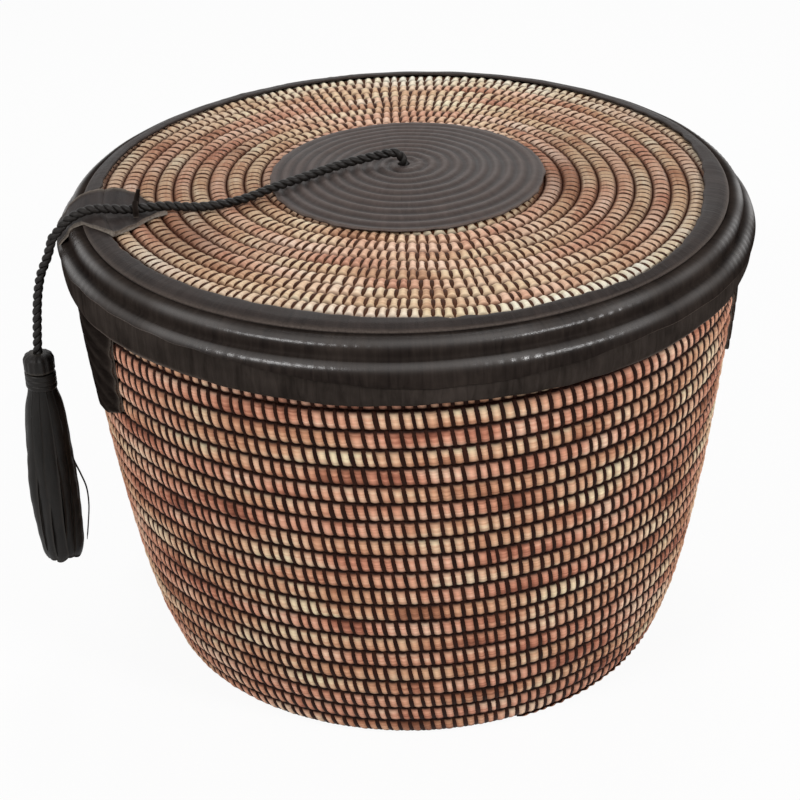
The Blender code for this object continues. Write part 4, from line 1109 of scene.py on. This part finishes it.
cap = loft("tassel_cap_leather", points, turn * .0086, np.linspace(0, .03, len(CAP_PROFILE)), True, 2.0,
           {"edge": wear_and_highlight})
finish_piece(cap, "tassel", "black_leather", leather["cord"], "tassel_cap")

# Three bound turns, the end tucked in
t = np.linspace(0, 3.06, 130)
wrap = np.stack([.0079 * np.cos(TAU * t + 1.2), .0079 * np.sin(TAU * t + 1.2), -.0109 - .0031 * t], -1) + swivel
inwards = np.array([SWIVEL.x, SWIVEL.y, wrap[-1][2]]) - wrap[-1]
tuck_in = np.linspace(0, 1, 8)[1:, None]
wrap = np.concatenate([wrap, wrap[-1] + tuck_in * inwards * .35 + tuck_in * np.array([-.001, .002, -.001])])
binding = tube("tassel_wrap", wrap, .0034, .0014, lambda p: (p - swivel) * np.array([1, 1, 0]), 10, .0006,
               "tassel", "leather_cord", leather["cord"], "tassel_binding")
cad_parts["tassel_core"].data.materials.clear()
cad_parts["tassel_core"].data.materials.append(leather["cord"])

# How far a thong spreads on its way down, and its width
THONG_SHAPE = ((0, 0), (.10, .06), (.18, .46), (.28, .70), (.42, .89), (.58, 1), (.70, .98), (.84, .86),
               (.93, .72), (.975, .56), (1, .34))
THONG_WIDTH = THONG_SHAPE[:6] + ((.84, .97), (1, .86))


def thong(name, node, turn, seat, spread, neck, width, length, seed):
    """A cut leather thong, from the width neck at the radius seat to its full width at the radius spread."""
    rng = np.random.default_rng(seed)

    def phase():
        return rng.uniform(0, 6)

    share = np.linspace(0, 1, 56)
    cross = np.linspace(-1, 1, 7)
    length = length * (1 - rng.uniform(0, .016))
    free = np.clip((share - .12) / .3, 0, 1)
    r = seat + (spread - seat) * curve_value(THONG_SHAPE, share)
    r = r + free * (.0005 * np.sin(share * rng.uniform(5, 9) + phase()) - .0003)
    half = (neck + (width - neck) * curve_value(THONG_WIDTH, share)) / 2
    half = half * (1 + .06 * free * np.sin(share * 11 + phase()))
    drift = free * (.07 * np.sin(share * rng.uniform(3, 6) + phase()) + rng.normal(0, .03))
    twist = free * (.20 * np.sin(share * rng.uniform(4, 7) + phase()))
    sh, cr = np.meshgrid(share, cross, indexing="ij")
    cut = rng.uniform(-.0016, .0016)
    z = -.0102 - length * sh + np.clip((sh - .9) / .1, 0, 1) * (cut * cr + .0012 * cr ** 2)
    angle = turn + drift[:, None] + cr * (half / r)[:, None]
    out = r[:, None] - .00055 * free[:, None] * cr ** 2 + cr * (twist * half)[:, None]
    out = out + .00010 * np.sin(sh * 60 + cr * 2 + phase()) * free[:, None]
    wear_and_highlight = .55 * np.exp(-(1 - np.abs(cr)) / .12) * free[:, None] + .6 * np.exp(-(1 - sh) / .012)
    sheet_solid(name, polar(out, angle, z) + swivel, polar(out - .0011, angle, z) + swivel, share * length,
                cross * width / 2, wear_and_highlight, "tassel", leather["thong"], node)


for k in range(12):
    thong(f"strip_outer_{k + 1:02d}", f"thong_outer_{k + 1:02d}", TAU * k / 12, .0076, .0136 + .0006 * (k % 2),
          .0040, .0084, .1212, 100 + k)
for k in range(6):
    thong(f"strip_inner_{k + 1:02d}", f"thong_inner_{k + 1:02d}", TAU * (k + .5) / 6, .0054, .0104,
          .0044, .0104, .1192, 200 + k)

# One thin loose strand that bows out of the tassel: how far to the side, and height over the swivel
STRAY = ((.0118, -.056), (.0134, -.066), (.0166, -.075), (.0192, -.084), (.0194, -.095), (.0178, -.107), (.0158, -.119))
right = unit(np.array(from_view(1, -.25, 0)))
tube("stray_strand", [swivel + right * a + np.array([0, 0, b]) for a, b in STRAY], .0013, .0007,
     lambda p: np.broadcast_to(right, p.shape), 8, .0010, "tassel", "black_leather", leather["thong"], taper=.6)


# Floor, light and background

WORLD_LEVEL, FLOOR_GLOW = .24, .93
FLOOR_SIZE, FLOOR_DROP = 30.0, .0005


def seen_directly(tree):
    """1 for the camera's own rays and for reflected and refracted ones."""
    rays = tree.nodes.new("ShaderNodeLightPath")
    seen = rays.outputs["Is Camera Ray"]
    for kind in ("Is Glossy Ray", "Is Transmission Ray"):
        either = tree.nodes.new("ShaderNodeMath")
        either.operation = "MAXIMUM"
        tree.links.new(seen, either.inputs[0])
        tree.links.new(rays.outputs[kind], either.inputs[1])
        seen = either.outputs[0]
    return seen


def stage_material():
    n = Nodes("stage")
    n.tree.nodes.remove(n.shader)
    output = next(node for node in n.tree.nodes if node.type == "OUTPUT_MATERIAL")
    soft = n.add("ShaderNodeBsdfDiffuse")
    soft.inputs["Color"].default_value = (.92, .92, .92, 1)
    glow = n.add("ShaderNodeEmission")
    glow.inputs["Color"].default_value = (1, 1, 1, 1)
    glow.inputs["Strength"].default_value = 1.0
    mix = n.add("ShaderNodeMixShader")
    n.put(mix.inputs[0], n.times(seen_directly(n.tree), FLOOR_GLOW))
    n.put(mix.inputs[1], soft.outputs[0])
    n.put(mix.inputs[2], glow.outputs[0])
    n.put(output.inputs["Surface"], mix.outputs[0])
    return n.material


def add_floor():
    mesh = bpy.data.meshes.new("floor")
    corners = [(x * FLOOR_SIZE, y * FLOOR_SIZE, -FLOOR_DROP) for x, y in ((-1, -1), (1, -1), (1, 1), (-1, 1))]
    mesh.from_pydata(corners, [], [(0, 1, 2, 3)])
    mesh.materials.append(stage_material())
    obj = placed("floor", mesh)


def add_world():
    world = bpy.data.worlds.new("world")
    bpy.context.scene.world = world
    world.use_nodes = True
    tree = world.node_tree
    background = tree.nodes["Background"]
    background.inputs["Color"].default_value = (1, 1, 1, 1)
    level = tree.nodes.new("ShaderNodeMapRange")
    level.inputs[3].default_value = WORLD_LEVEL
    level.inputs[4].default_value = 1.0
    tree.links.new(seen_directly(tree), level.inputs[0])
    tree.links.new(level.outputs[0], background.inputs["Strength"])


def add_lamp(name, place, target, size, power):
    data = bpy.data.lights.new(name, "AREA")
    data.shape = "RECTANGLE"
    data.size, data.size_y = size
    data.energy = power
    obj = placed(name, data)
    obj.location = from_view(*place)
    obj.rotation_mode = "QUATERNION"
    obj.rotation_quaternion = (from_view(*target) - obj.location).to_track_quat("-Z", "Y")


add_floor()
add_world()
add_lamp("left_softbox", (-.98, -1.08, 1.15), (0, 0, .14), (.60, .24), 12.0)
add_lamp("right_softbox", (1.12, -.98, 1.05), (0, 0, .14), (.36, .24), 12.7)
add_lamp("top_softbox", (.05, .95, 1.25), (0, 0, .24), (.7, .5), 8.0)

bpy.context.scene.view_settings.view_transform = "Standard"
